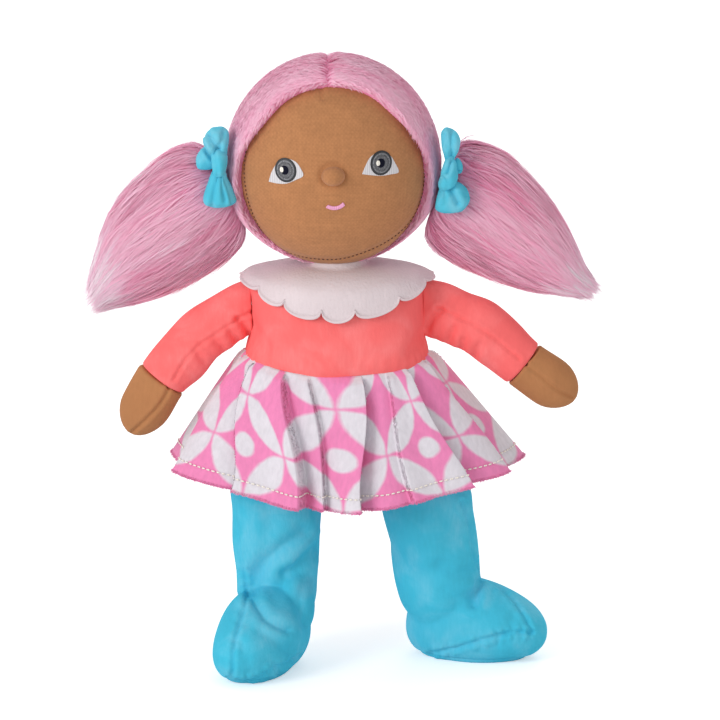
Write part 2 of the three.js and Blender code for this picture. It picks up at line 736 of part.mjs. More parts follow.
// The foot is an egg along the ground, blunt at the heel and lower at the toe.
function foot(name, inset, around, steps) {
  const heading = radians(footTurn[name]);
  const stations = [
    [0, 0.84, footHalfTall - 3],
    [0.3, 0.97, footHalfTall],
    [0.6, 1, 0.5 * (footHalfTall + toeHalfTall) + 1],
    [1, 0.86, toeHalfTall],
  ].map(([share, wide, tall]) => ({
    middle: new THREE.Vector3(0, share * footLength, tall - footSunk),
    half: new THREE.Vector3(wide * footHalfWidth, tall, 0),
  }));
  const path = smoothLine(stations.map((s) => s.middle));
  const size = smoothLine(stations.map((s) => s.half));
  const trim = inset / footLength;
  const rings = [];
  for (let i = 1; i < steps; i += 1) {
    const share = trim + (1 - 2 * trim) * 0.5 * (1 - Math.cos((Math.PI * i) / steps));
    const middle = path.getPoint(share);
    const half = size.getPoint(share);
    const off = Math.abs(2 * ((share - trim) / (1 - 2 * trim)) - 1);
    const close = (1 - off ** footBluntness) ** (1 / footFullness);
    const ring = [];
    for (let j = 0; j < around; j += 1) {
      const angle = (2 * Math.PI * j) / around;
      const halves = [(half.x - inset) * close, (half.y - inset) * close];
      const [a, b] = roundPoint(angle, ...halves, footFullness);
      ring.push(new THREE.Vector3(a, middle.y, middle.z + b));
    }
    rings.push(ring);
  }
  const tips = [path.getPoint(trim), path.getPoint(1 - trim)];
  const [heelX, heelY] = footHeel[name];
  const place = (p) => p.applyAxisAngle(up, -heading).add(new THREE.Vector3(heelX, heelY, 0));
  return skin(rings.map((ring) => ring.map(place)), place(tips[0]), place(tips[1]));
}

const ground = new THREE.Vector3(0, 0, 0);
const soleTop = new THREE.Vector3(0, 0, soleThickness);
const down = up.clone().negate();

for (const [name, sign] of Object.entries(sides)) {
  const out = legOut[name];
  const legRound = { roundFrom: 0.02, roundTo: 0.12 };
  const outer = legTube(sign, out, 0, legRound).add(foot(name, 0, legSides, 10));
  const cavity = legTube(sign, out, wall, { from: 0.1, roundTo: 0.12, steps: 9 });
  const lining = cavity.add(foot(name, wall, legSides, 10));
  const shell = outer.subtract(lining).intersect(beyond(soleTop, up));
  piece(`leg_${name}`, shell, "velourBlue");
  const soleSlab = beyond(ground, up, 0).subtract(beyond(soleTop, up, -gap / 2));
  piece(`sole_${name}`, outer.intersect(soleSlab), "velourBlue");
  const inset = wall + fillGap + 2 * gap;
  const tube = legTube(sign, out, inset, { from: 0.13, roundTo: 0.12, around: legSides / 2, steps: 8 });
  const fill = tube.add(foot(name, inset, legSides / 2, 10)).subtract(beyond(soleTop, down, -gap));
  piece(`leg_stuffing_${name}`, fill, "filling");
}

// The origin lies on the ground, under the middle of the doll's overall box.
const box = new THREE.Box3().setFromObject(group);
const middle = box.getCenter(new THREE.Vector3());
for (const mesh of group.children) mesh.geometry.translate(-middle.x, -middle.y, 0);

export default group;
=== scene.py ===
"""Dresses the packed rag doll: velour, plush, print, stitching and embroidery.

Sizes in the code are in millimetres in the doll's own frame, whose origin lies under the middle of its neck,
and metres() takes them to the packed model's frame. Left and right are the viewer's.
"""

import math
from functools import partial

import bmesh
import bpy
import numpy as np
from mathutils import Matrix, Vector


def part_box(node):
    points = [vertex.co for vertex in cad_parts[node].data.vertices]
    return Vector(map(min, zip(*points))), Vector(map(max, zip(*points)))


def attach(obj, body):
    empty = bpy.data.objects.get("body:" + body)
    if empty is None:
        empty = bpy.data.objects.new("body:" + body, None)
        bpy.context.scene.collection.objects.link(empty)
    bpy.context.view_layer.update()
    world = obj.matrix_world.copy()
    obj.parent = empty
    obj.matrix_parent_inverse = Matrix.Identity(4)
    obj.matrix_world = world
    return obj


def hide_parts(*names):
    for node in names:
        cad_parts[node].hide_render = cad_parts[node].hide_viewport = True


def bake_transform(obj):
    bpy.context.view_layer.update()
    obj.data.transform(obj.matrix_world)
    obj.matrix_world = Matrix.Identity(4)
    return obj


bl_info = {
    "name": "Rag Doll",
    "version": (1, 0, 0),
    "blender": (4, 5, 0),
    "location": "3D View > Sidebar > Rag Doll",
    "description": "Dresses the packed rag doll in velour, plush and stitching",
    "category": "Add Mesh",
}

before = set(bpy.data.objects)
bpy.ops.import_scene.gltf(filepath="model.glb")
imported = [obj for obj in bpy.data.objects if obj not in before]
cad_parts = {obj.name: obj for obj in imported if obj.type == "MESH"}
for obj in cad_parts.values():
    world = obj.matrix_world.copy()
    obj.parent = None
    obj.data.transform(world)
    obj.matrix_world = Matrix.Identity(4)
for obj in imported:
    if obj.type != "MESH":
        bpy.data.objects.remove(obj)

MM = 0.001
SIDES = {"left": -1, "right": 1}
ELEVATION = math.radians(15)  # of the photograph's camera
RISE, LEVEL = math.sin(ELEVATION), math.cos(ELEVATION)
LOOK = np.array([0, LEVEL, -RISE])  # the way that the camera looks
PHOTO_SIZE, PIXEL = 720, 0.6  # the photograph's side in pixels, and a pixel's size in millimetres
PHOTO_MIDDLE, PHOTO_GROUND, GROUND_UP = 337, 685, -15.5  # the doll's middle and a low pixel, and its height
WAVE_SCALE = 2 / (MM * 6.283)  # of a wave texture whose bands are about one millimetre apart
STRAND_MAP = "OFBake"  # a strand's place from root to tip, and its shade
SKIRT_LENGTH, SKIRT_AROUND = 79.0, 560.0  # from waist to hem, and the print's length round the hem


# ---------------------------------------------------------------- sizes and colours


def linear(code):
    """The linear colour of an sRGB hex code such as "f0b4cd"."""
    parts = [int(code[i : i + 2], 16) / 255 for i in (0, 2, 4)]
    return tuple(p / 12.92 if p <= 0.04045 else ((p + 0.055) / 1.055) ** 2.4 for p in parts)


def length(name, millimetres, description):
    """A length that a user would change."""
    return bpy.props.FloatProperty(
        name=name, description=description, default=millimetres * MM, min=0.0, unit="LENGTH", precision=4
    )


def colour(name, code, description):
    """A colour that a user would change."""
    return bpy.props.FloatVectorProperty(
        name=name, description=description, default=linear(code), subtype="COLOR", size=3, min=0, max=1
    )


def count(name, default, description):
    """A number of strands that a user would change."""
    return bpy.props.IntProperty(name=name, description=description, default=default, min=1)


class DollSizes(bpy.types.PropertyGroup):
    """Sizes of the doll's sewing and pile."""

    cap_strands: count("Strands on each half of the head", 26000, "Pile strands on one hair cap")
    cap_pile: length("Pile on the head", 12, "Length of the plush strands on the head")
    bunch_locks: count("Locks in a bunch", 1450, "Locks of strands in one bunch")
    bunch_hair: length("Hair in a bunch", 42, "Length of the longest strands in a bunch")
    skirt_strands: count("Strands on the skirt", 16000, "Pile strands along the skirt's hem and folds")
    short_pile: length("Short pile", 2.2, "Length of the strands on the skirt")
    face_stitch: length("Face stitch", 2.6, "From one stitch to the next round the face")
    hem_stitch: length("Hem stitch", 3.3, "From one stitch to the next along the hem")
    print_repeat: length("Print repeat", 60, "Width of one repeat of the skirt's pattern")


class DollColours(bpy.types.PropertyGroup):
    """Colours of the doll's fabrics and threads."""

    skin: colour("Skin", "b37b51", "Brown twill of the face and velour of the hands")
    coral: colour("Coral", "fb706f", "Velour of the body and sleeves")
    blue: colour("Blue", "44bedb", "Velour of the legs")
    bow: colour("Bows", "50bdd6", "Velour of the bows")
    collar: colour("Collar", "dbcdd0", "Plush of the collar")
    pink: colour("Pink", "ffc4df", "Plush of the hair")
    # The deepest strands' tone, and the backing cloth's colour, which is this deep as painted shade where it shows
    # between the strands.
    pink_deep_and_shade: colour("Deep pink", "fb9bc3", "Roots of the plush")
    pink_light: colour("Light pink", "ffdaea", "Tips of the plush")
    hair_end: colour("Hair ends", "fdf3f8", "Ends of the bunches")
    print_pink: colour("Print pink", "e886b5", "Ground of the skirt's pattern")
    print_pale: colour("Print pale", "dad5dc", "Motifs of the skirt's pattern")
    eye_white: colour("Eye white", "cfcbce", "Thread of the eye whites")
    iris: colour("Iris", "6c6c70", "Thread of the irises")
    iris_dark: colour("Iris rim", "34363a", "Thread of the irises' rims")
    pupil: colour("Pupil", "0b0d1e", "Thread of the pupils")
    mouth: colour("Mouth", "eba3c8", "Thread of the mouth")
    face_thread: colour("Face thread", "5a3320", "Topstitching round the face")
    hem_thread: colour("Hem thread", "f0e9dd", "Topstitching along the hem")


# ---------------------------------------------------------------- places and smooth lines


def doll_centre():
    """The doll's own origin in the packed model's frame: on the ground, under the middle of the neck."""
    low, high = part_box("neck_core")
    return np.array([(low.x + high.x) / 2, (low.y + high.y) / 2, 0])


CENTRE = doll_centre()


def metres(points):
    """Millimetres in the doll's own frame as metres in the packed model's."""
    return np.asarray(points, float) * MM + CENTRE


def millimetres(points):
    """Metres in the packed model's frame as millimetres in the doll's own."""
    return (np.asarray(points, float) - CENTRE) / MM


def unit(vectors):
    """Vectors along the last axis at length one."""
    return vectors / np.maximum(np.linalg.norm(vectors, axis=-1, keepdims=True), 1e-9)


def smooth_step(x):
    """0 below 0, 1 above 1, and smooth between."""
    x = np.clip(x, 0, 1)
    return x * x * (3 - 2 * x)


def bell(x, width):
    """1 at 0, and down to nearly nothing at twice the width."""
    return np.exp(-((x / width) ** 2))


def rounded(x, fullness):
    """The cosine or sine of a turn, drawn out so that the section is fuller than an oval's 2."""
    return np.sign(x) * np.abs(x) ** (2 / fullness)


def smooth_line(rows, shares):
    """Rows of numbers on a smooth line through evenly spaced rows, at shares of its length."""
    p = np.asarray(rows, float)
    p = np.vstack([2 * p[0] - p[1], p, 2 * p[-1] - p[-2]])
    at = np.clip(np.asarray(shares, float), 0, 1) * (len(p) - 3)
    i = np.minimum(at.astype(int), len(p) - 4)
    f = (at - i)[..., None]
    a, b, c, d = p[i], p[i + 1], p[i + 2], p[i + 3]
    return 0.5 * (2 * b + (c - a) * f + (2 * a - 5 * b + 4 * c - d) * f**2 + (3 * b - a - 3 * c + d) * f**3)


def from_photo(px, py):
    """A pixel of the photograph as millimetres across and up in the camera's plane."""
    return (px - PHOTO_MIDDLE) * PIXEL, (PHOTO_GROUND - py) * PIXEL + GROUND_UP


def in_camera_plane(points):
    """Points in millimetres as across and up in the camera's plane."""
    return np.stack([points[:, 0], points[:, 2] * LEVEL + points[:, 1] * RISE], 1)


def circle(many):
    """Evenly spaced angles once round."""
    return np.linspace(0, 2 * math.pi, many, endpoint=False)


def line_distance(points, line):
    """Each point's distance from a bent line in the plane, and how far along the line its nearest place is."""
    best, along, start = np.full(len(points), 1e9), np.zeros(len(points)), 0.0
    for a, b in zip(line[:-1], line[1:]):
        run = b - a
        size = np.linalg.norm(run)
        t = np.clip((points - a) @ run / size**2, 0, 1)
        d = np.linalg.norm(points - (a + t[:, None] * run), axis=1)
        along = np.where(d < best, start + t * size, along)
        best = np.minimum(best, d)
        start += size
    return best, along


def lumps(points, size, seed):
    """A smooth unevenness between about -1 and 1, whose lumps are that size in millimetres."""
    rng = np.random.default_rng(seed)
    total = np.zeros(points.shape[:-1])
    for _ in range(9):
        wave = unit(rng.normal(size=3)) * 2 * math.pi / (size * rng.uniform(1.3, 2.6))
        total += np.sin(points @ wave + rng.uniform(0, 2 * math.pi))
    return total / 3


# ---------------------------------------------------------------- meshes


def new_piece(name, points, faces, corners=None, map_name="pattern"):
    """An object at the origin from points in the doll's own frame, with a map value for each face corner."""
    mesh = bpy.data.meshes.new(name)
    mesh.from_pydata(metres(points).tolist(), [], faces)
    if corners is not None:
        layer = mesh.uv_layers.new(name=map_name)
        layer.uv.foreach_set("vector", np.asarray(corners, np.float32).ravel())
    mesh.shade_smooth()
    piece = bpy.data.objects.new(name, mesh)
    bpy.context.scene.collection.objects.link(piece)
    return piece


def points_of(piece):
    """A piece's vertices in millimetres and its outward directions."""
    size = len(piece.data.vertices)
    co, out = np.zeros(size * 3), np.zeros(size * 3)
    piece.data.vertices.foreach_get("co", co)
    piece.data.vertex_normals.foreach_get("vector", out)
    return millimetres(co.reshape(-1, 3)), out.reshape(-1, 3)


def set_points(piece, points):
    """Moves a piece's vertices to points in millimetres."""
    piece.data.vertices.foreach_set("co", metres(points).ravel())
    piece.data.update()


def grid_faces(rows, columns, closed=True, looped=False):
    """The quads of a grid of points, and each corner's row and column.

    closed joins the last column to the first, and looped the last row to the first."""
    i, j = np.meshgrid(np.arange(rows - 1 + looped), np.arange(columns - 1 + closed), indexing="ij")
    i, j = i.ravel(), j.ravel()
    row = np.stack([i, i, i + 1, i + 1], 1)
    column = np.stack([j, j + 1, j + 1, j], 1)
    return row % rows * columns + column % columns, row, column


def fans(rows, columns):
    """The triangles that close a closed grid's first and last row to two tips, the points after the grid's."""
    j = np.arange(columns)
    k = (j + 1) % columns
    first, top = rows * columns, (rows - 1) * columns
    return [np.stack([first + 0 * j, k, j], 1), np.stack([first + 1 + 0 * j, top + j, top + k], 1)]


def closed_faces(rows, columns):
    """The faces of a closed grid with its two tips."""
    return [face for part in (grid_faces(rows, columns)[0], *fans(rows, columns)) for face in part.tolist()]


def loft(name, rings, tips):
    """A closed skin over rings of points, with a fan from each end ring to its tip, facing outwards."""
    rows, columns, _ = rings.shape
    _, row, column = grid_faces(rows, columns)
    corners = np.stack([column / columns, row / (rows - 1)], -1).reshape(-1, 2)
    points = np.vstack([rings.reshape(-1, 3), tips])
    j = np.arange(columns)
    ends = [np.stack([(j + s) / columns, np.full(columns, e)], 1) for e in (0, 1) for s in (0.5, 1, 0)]
    fan_corners = [np.stack(ends[e * 3 : e * 3 + 3], 1).reshape(-1, 2) for e in (0, 1)]
    piece = new_piece(name, points, closed_faces(rows, columns), np.vstack([corners, *fan_corners]))
    face_outwards(piece)
    return piece


def face_outwards(piece):
    """Turns a closed mesh's faces outwards."""
    work = bmesh.new()
    work.from_mesh(piece.data)
    bmesh.ops.recalc_face_normals(work, faces=work.faces)
    work.to_mesh(piece.data)
    work.free()


def rings_of(stations, steps, around, fullness=2.0, round_from=0.0, round_to=0.0, pinches=()):
    """Rings of a soft form that swells through stations of x, y, z, wide, deep and tilt, and their shares.

    The section's wide direction turns by tilt degrees from +X towards +Z. round_from and round_to are the
    shares over which the ends close, and each pinch is a share, its reach and its depth in millimetres."""
    ends = 1 - np.cos(np.linspace(0.12, math.pi / 2, 9)[:-1])
    shares = np.linspace(round_from, 1 - round_to, steps)
    if round_from:
        shares = np.concatenate([round_from * ends, shares])
    if round_to:
        shares = np.concatenate([shares, 1 - round_to * ends[::-1]])
    close = np.ones(len(shares))
    for depth, cap in ((round_from - shares, round_from), (shares - 1 + round_to, round_to)):
        if cap:
            close *= np.sqrt(np.clip(1 - np.clip(depth / cap, 0, 1) ** 2, 0, 1))
    rows = smooth_line(stations, shares)
    drawn_in = sum((d * bell(shares - at, reach) for at, reach, d in pinches), np.zeros(len(shares)))
    angle = circle(around)
    c, s, tilt = np.cos(angle), np.sin(angle), np.radians(rows[:, 5])
    wide = ((rows[:, 3] - drawn_in) * close)[:, None] * rounded(c, fullness)
    deep = ((rows[:, 4] - drawn_in) * close)[:, None] * rounded(s, fullness)
    off = np.stack([wide * np.cos(tilt)[:, None], deep, wide * np.sin(tilt)[:, None]], -1)
    return rows[:, None, :3] + off, shares


def swell(name, stations, steps=60, around=72, **shape):
    """A closed soft form through stations."""
    rings, _ = rings_of(stations, steps, around, **shape)
    tips = smooth_line(stations, np.array([0.0, 1.0]))[:, :3]
    return loft(name, rings, tips)


def apply_modifier(piece, kind, **settings):
    """Adds a modifier with its settings and applies it."""
    bpy.ops.object.select_all(action="DESELECT")
    piece.select_set(True)
    bpy.context.view_layer.objects.active = piece
    modifier = piece.modifiers.new(kind.title(), kind)
    for key, value in settings.items():
        setattr(modifier, key, value)
    bpy.ops.object.modifier_apply(modifier=modifier.name)


def merged(name, parts, voxel, rounds):
    """Closed parts grown together into one smoothed skin."""
    bpy.ops.object.select_all(action="DESELECT")
    for part in parts:
        part.select_set(True)
    bpy.context.view_layer.objects.active = parts[0]
    bpy.ops.object.join()
    piece = parts[0]
    piece.name = name
    apply_modifier(piece, "REMESH", mode="VOXEL", voxel_size=voxel * MM, use_smooth_shade=True)
    apply_modifier(piece, "SMOOTH", factor=0.5, iterations=rounds)
    return piece


def uneven(piece, size, depth, seed):
    """Gives a stuffed piece the soft lumps of its filling."""
    points, out = points_of(piece)
    set_points(piece, points + out * (depth * lumps(points, size, seed))[:, None])


def press(piece, pixels, width, depth, behind=False, pucker=0.0):
    """Presses a line that the photograph shows into a piece's front, or into its back at the same place.

    The cloth swells a little on both sides of it. pucker is the depth of the small gathers that cross a sewn
    line, in millimetres."""
    points, out = points_of(piece)
    line = np.array([from_photo(*p) for p in pixels])
    away, along = line_distance(in_camera_plane(points), line)
    facing = out @ (LOOK if behind else -LOOK)
    weight = smooth_step((facing - 0.02) / 0.3)
    pressed = depth * (bell(away, width) - 0.35 * bell(away - 2.3 * width, 1.3 * width))
    if pucker:
        gathers = 0.7 * np.sin(along * 1.1 + 1.5 * np.sin(along * 0.13)) + 0.7 * np.sin(along * 0.61 + 1)
        pressed += pucker * gathers * bell(away - 2.2 * width, 1.6 * width)
    set_points(piece, points - out * (pressed * weight)[:, None])


def press_folds(piece, folds, wider=1.0, deeper=1.0):
    """Presses folds that are given as a line, its width and its depth."""
    for line, width, depth in folds:
        press(piece, line, wider * width, deeper * depth)


def ribbons(name, paths, outward, width, shade, corners=None):
    """Strands of pile as flat ribbons that taper to a point, along paths of equally many points.

    The map's first value runs from root to tip, and its second is the strand's shade, unless corners gives
    each strand one fixed place on another piece's map."""
    many, steps, _ = paths.shape
    run = unit(np.gradient(paths, axis=1))
    across = unit(np.cross(run, outward[:, None, :]))
    taper = np.sqrt(1 - (np.arange(steps) / (steps - 1)) ** 1.6)[:-1]
    half = 0.5 * np.asarray(width)[:, None, None] * taper[None, :, None]
    left = paths[:, :-1] - across[:, :-1] * half
    right = paths[:, :-1] + across[:, :-1] * half
    points = np.concatenate([np.stack([left, right], 2).reshape(many, -1, 3), paths[:, -1:]], 1)
    each = points.shape[1]
    quads = np.array([[2 * i, 2 * i + 1, 2 * i + 3, 2 * i + 2] for i in range(steps - 2)])
    tip = np.array([2 * steps - 4, 2 * steps - 3, 2 * steps - 2])
    along = np.append(np.repeat(np.arange(steps - 1), 2), steps - 1) / (steps - 1)
    spread = np.append(np.tile([-0.012, 0.012], steps - 1), 0.0)
    order = np.concatenate([quads.ravel(), tip])
    faces = []
    for start in range(0, many * each, each):
        faces.extend((quads + start).tolist())
        faces.append((tip + start).tolist())
    if corners is None:
        u = np.broadcast_to(0.02 + 0.96 * along[order], (many, len(order)))
        v = np.clip(shade[:, None] + spread[order], 0.001, 0.999)
        corners = np.stack([u, v], -1).reshape(-1, 2)
        return new_piece(name, points.reshape(-1, 3), faces, corners, STRAND_MAP)
    wide = np.repeat(corners[:, None], len(order), 1) + 0.0004 * np.stack([spread[order] * 40, along[order]], -1)
    return new_piece(name, points.reshape(-1, 3), faces, wide.reshape(-1, 2))


def stitches(name, middles, runs, outward, length_mm, thick):
    """A row of short threads, each a small closed rod with pointed ends."""
    sides = 6
    angle = circle(sides)
    stops = [(-0.42, 0.62), (-0.15, 1.0), (0.15, 1.0), (0.42, 0.62)]
    rod = [(s, r * math.cos(a), r * math.sin(a)) for s, r in stops for a in angle] + [(-0.5, 0, 0), (0.5, 0, 0)]
    rod = np.array(rod) * [1, 0.5, 0.5]
    faces = closed_faces(len(stops), sides)
    across = unit(np.cross(outward, runs))
    frames = np.stack([runs * length_mm, across * thick, outward * thick], 1)
    points = np.einsum("pi,nij->npj", rod, frames) + middles[:, None]
    every = [[v + n * len(rod) for v in f] for n in range(len(middles)) for f in faces]
    piece = new_piece(name, points.reshape(-1, 3), every)
    face_outwards(piece)
    return piece


def even_places(line, pitch):
    """Places along a line of points, one pitch apart, and the way that the line runs there."""
    line = np.asarray(line, float)
    steps = np.linalg.norm(np.diff(line, axis=0), axis=1)
    at = np.concatenate([[0], np.cumsum(steps)])
    stops = np.arange(pitch / 2, at[-1], pitch)
    here, ahead, behind = (
        np.stack([np.interp(stops + shift, at, values) for values in line.T], 1) for shift in (0, 0.5, -0.5)
    )
    return here, unit(ahead - behind)


# ---------------------------------------------------------------- materials


def add_node(tree, kind, sockets=(), output=0, **settings):
    """Adds a node with its settings and links, and gives one of its outputs.

    Each value is a setting of the node's own, a socket's value, or the output that a socket reads. sockets holds
    those of sockets in order or by number, and a setting's name has _ for a space."""
    node = tree.nodes.new("ShaderNode" + kind)
    numbered = sockets if isinstance(sockets, dict) else dict(enumerate(sockets))
    for key, value in {**settings, **numbered}.items():
        if isinstance(key, str) and hasattr(node, key):
            setattr(node, key, value)
            continue
        socket = node.inputs[key.replace("_", " ") if isinstance(key, str) else key]
        if isinstance(value, bpy.types.NodeSocket):
            tree.links.new(value, socket)
        else:
            socket.default_value = value
    return node.outputs[output] if node.outputs else node


def emptied(owner):
    """The function that adds a node to a material or world, which starts without any."""
    owner.use_nodes = True
    owner.node_tree.nodes.clear()
    return partial(add_node, owner.node_tree)


def blank(name):
    """A material without nodes, and the function that adds one to it."""
    material = bpy.data.materials.new(name)
    return material, emptied(material)


def rgba(tone, gain=1.0):
    """A colour with its alpha, lighter or darker by gain."""
    return tuple(min(c * gain, 1.0) for c in tone) + (1.0,)


def stops_on(ramp, stops):
    """Sets the stops of the colour ramp that gives an output, from positions and colours."""
    elements = ramp.node.color_ramp.elements
    while len(elements) < len(stops):
        elements.new(0.5)
    for element, (position, tone) in zip(elements, stops):
        element.position, element.color = position, tone
    return ramp


def velour(name, tone, grain=1.1, depth=0.22, mottle=0.1, sheen=0.5, stroked=0.0):
    """Knitted polyester velour, sheared to a short dense pile.

    Matt from the front and paler at grazing angles. Where a hand has stroked it the nap lies over, which shows as
    soft paler patches with fine streaks in them. The pile's grain is under 0.3 mm, which wouldn't show, so it
    is drawn at one to two millimetres."""
    material, node = blank(name)
    place = node("TexCoord", output="Object")
    nap = node("TexNoise", Vector=place, Scale=1 / (26 * MM), Detail=4.0, Distortion=0.7)
    laid = node("Mapping", Vector=place, Rotation=(0.3, 0.5, 0.0), Scale=(1.0, 1.0, 0.2))
    streak = node("TexNoise", Vector=laid, Scale=1 / (1.7 * MM), Detail=3.0)
    fine = node("TexNoise", Vector=place, Scale=1 / (grain * MM), Detail=2.0)
    both = node("Mix", {0: 0.3, 2: nap, 3: streak}, data_type="FLOAT")
    spread = node("MapRange", [both, 0.36, 0.64])
    tones = node("Mix", {0: spread, 6: rgba(tone, 1 - mottle), 7: rgba(tone, 1 + mottle)}, 2, data_type="RGBA")
    # Painted sheen: where the nap lies over, the colour is mixed towards a paler grey in soft streaked patches.
    painted_sheen_patches = node("MapRange", [nap, 0.4, 0.72, 0.0, stroked], interpolation_type="SMOOTHSTEP")
    streaks = node("MapRange", [streak, 0.3, 0.7, 0.55, 1.0])
    painted_sheen_mask = node("Math", [painted_sheen_patches, streaks], operation="MULTIPLY", use_clamp=True)
    painted_sheen_tone = tuple(0.45 * c + 0.38 for c in tone) + (1.0,)
    paler = node("Mix", {0: painted_sheen_mask, 6: tones, 7: painted_sheen_tone}, 2, data_type="RGBA")
    rough = node("Math", [fine, streak], operation="ADD")
    bump = node("Bump", Strength=0.5, Distance=depth * MM, Height=rough)
    shader = node(
        "BsdfPrincipled", Base_Color=paler, Normal=bump, Roughness=0.88, Specular_IOR_Level=0.18,
        Sheen_Weight=sheen, Sheen_Roughness=0.45, Sheen_Tint=rgba(tone, 1.25),
    )
    node("OutputMaterial", Surface=shader)
    return material


def face_cloth(name, tone):
    """Brushed cotton twill: a fine diagonal weave, faint thicker threads both ways and soft clouds of shade.

    Its threads are 0.4 mm apart, too fine to show, so the weave is drawn at 1.8 mm."""
    material, node = blank(name)
    place = node("TexCoord", output="Object")
    waves = []
    for slant in (0.85, -0.7):
        laid = node("Mapping", Vector=place, Rotation=(0.0, slant, 0.0))
        waves.append(node(
            "TexWave", Vector=laid, Scale=WAVE_SCALE / 1.8, Distortion=2.2, Detail=2.0, Detail_Scale=1.5,
            bands_direction="X", output="Fac",
        ))
    weave = node("Math", waves, operation="ADD")
    toned = node("MapRange", [weave, 0.2, 1.8, 0.955, 1.03])
    cloudy = node("TexNoise", Vector=place, Scale=1 / (12 * MM), Detail=4.0)
    shades = [node("MapRange", [cloudy, 0.3, 0.7, 0.95, 1.05])]
    for stretch in ((1.0, 0.5, 0.12), (0.12, 0.5, 1.0)):
        laid = node("Mapping", Vector=place, Scale=stretch)
        slub = node("TexNoise", Vector=laid, Scale=1 / (1.3 * MM), Detail=2.0)
        shades.append(node("MapRange", [slub, 0.3, 0.7, 1.05, 0.94]))
    for shade in shades:
        toned = node("Math", [toned, shade], operation="MULTIPLY")
    cloth = node("VectorMath", {0: tone, "Scale": toned}, operation="SCALE")
    bump = node("Bump", Strength=0.3, Distance=0.06 * MM, Height=weave)
    shader = node(
        "BsdfPrincipled", Base_Color=cloth, Normal=bump, Roughness=0.85, Specular_IOR_Level=0.2,
        Sheen_Weight=0.12, Sheen_Roughness=0.5,
    )
    node("OutputMaterial", Surface=shader)
    return material


def pile_strand(name, colours):
    """Acrylic plush fibre: soft, slightly glossy along its length, and deeper in colour between the strands.

    A fine fibre scatters light on through it, so its far side is nearly as bright as the lit one."""
    shades = [
        (0.0, rgba(colours.pink_deep_and_shade)), (0.36, rgba(colours.pink)), (0.66, rgba(colours.pink_light)),
        (0.85, rgba(colours.pink_light, 1.04)), (1.0, rgba(colours.hair_end)),
    ]
    # Painted shade: the root end of each strand is tinted deeper and more saturated, fading out by six tenths of the
    # way to the tip.
    painted_root_shade, white = (1.0, 0.74, 0.88, 1.0), (1.0, 1.0, 1.0, 1.0)
    material, node = blank(name)
    tipward, shade = node("SeparateXYZ", [node("UVMap", uv_map=STRAND_MAP)]).node.outputs[:2]
    tones = stops_on(node("ValToRGB", [shade]), shades)
    depth = node("MapRange", [tipward, 0.0, 0.6])
    root_shade_mix = node("Mix", {0: depth, 6: painted_root_shade, 7: white}, 2, data_type="RGBA")
    shaded = node("VectorMath", [tones, root_shade_mix], operation="MULTIPLY")
    shader = node(
        "BsdfPrincipled", Base_Color=shaded, Roughness=0.62, Specular_IOR_Level=0.3, Sheen_Weight=0.15,
        Sheen_Roughness=0.4,
    )
    glow = node("BsdfTranslucent", Color=shaded)
    node("OutputMaterial", Surface=node("MixShader", [0.42, shader, glow]))
    return material


def thread(name, tone, along=(1.0, 1.0, 1.0), gloss=0.4):
    """Rayon embroidery thread laid side by side in satin stitch: fine parallel ridges with a soft gloss.

    A thread is 0.3 mm thick, too fine to show, so it is drawn at 1.1 mm."""
    material, node = blank(name)
    laid = node("Mapping", Vector=node("TexCoord", output="Object"), Scale=along)
    ridges = node(
        "TexWave", Vector=laid, Scale=WAVE_SCALE / 1.1, Distortion=1.2, Detail=2.0, Detail_Scale=2.0,
        bands_direction="X", output="Fac",
    )
    tones = node("Mix", {0: ridges, 6: rgba(tone, 0.84), 7: rgba(tone, 1.16)}, 2, data_type="RGBA")
    bump = node("Bump", Strength=0.5, Distance=0.12 * MM, Height=ridges)
    shader = node(
        "BsdfPrincipled", Base_Color=tones, Normal=bump, Roughness=0.85 - gloss, Specular_IOR_Level=gloss,
        Sheen_Weight=0.35 * gloss,
    )
    node("OutputMaterial", Surface=shader)
    return material


def iris_thread(name, colours):
    """Grey rayon thread sewn round and round: a dark rim, a pale line, a dark line and a speckled middle."""
    material, node = blank(name)
    place = node("UVMap", uv_map="pattern")
    outward = node("SeparateXYZ", [place], 1)
    laid = node("Mapping", Vector=place, Scale=(42.0, 9.0, 1.0))
    flecks = node("TexNoise", Vector=laid, Scale=1.0, Detail=3.0)
    shifted = node("Math", [flecks, 0.16, -0.08], operation="MULTIPLY_ADD")
    radius = node("Math", [outward, shifted], operation="ADD")
    greys = [(0, 0.8), (0.2, 0.7), (0.29, 0.9), (0.35, 0.45), (0.41, 0.5), (0.46, 1.25), (0.52, 1.1)]
    stops = [(at, rgba(colours.iris, gain)) for at, gain in greys]
    stops += [(at, rgba(colours.iris_dark, gain)) for at, gain in ((0.565, 0.7), (1.0, 0.5))]
    rings = stops_on(node("ValToRGB", [radius]), stops)
    speckle = node("MapRange", [flecks, 0.35, 0.65, 0.5, 1.5])
    toned = node("VectorMath", {0: rings, "Scale": speckle}, operation="SCALE")
    bump = node("Bump", Strength=0.5, Distance=0.15 * MM, Height=flecks)
    shader = node("BsdfPrincipled", Base_Color=toned, Normal=bump, Roughness=0.5, Specular_IOR_Level=0.35)
    node("OutputMaterial", Surface=shader)
    return material


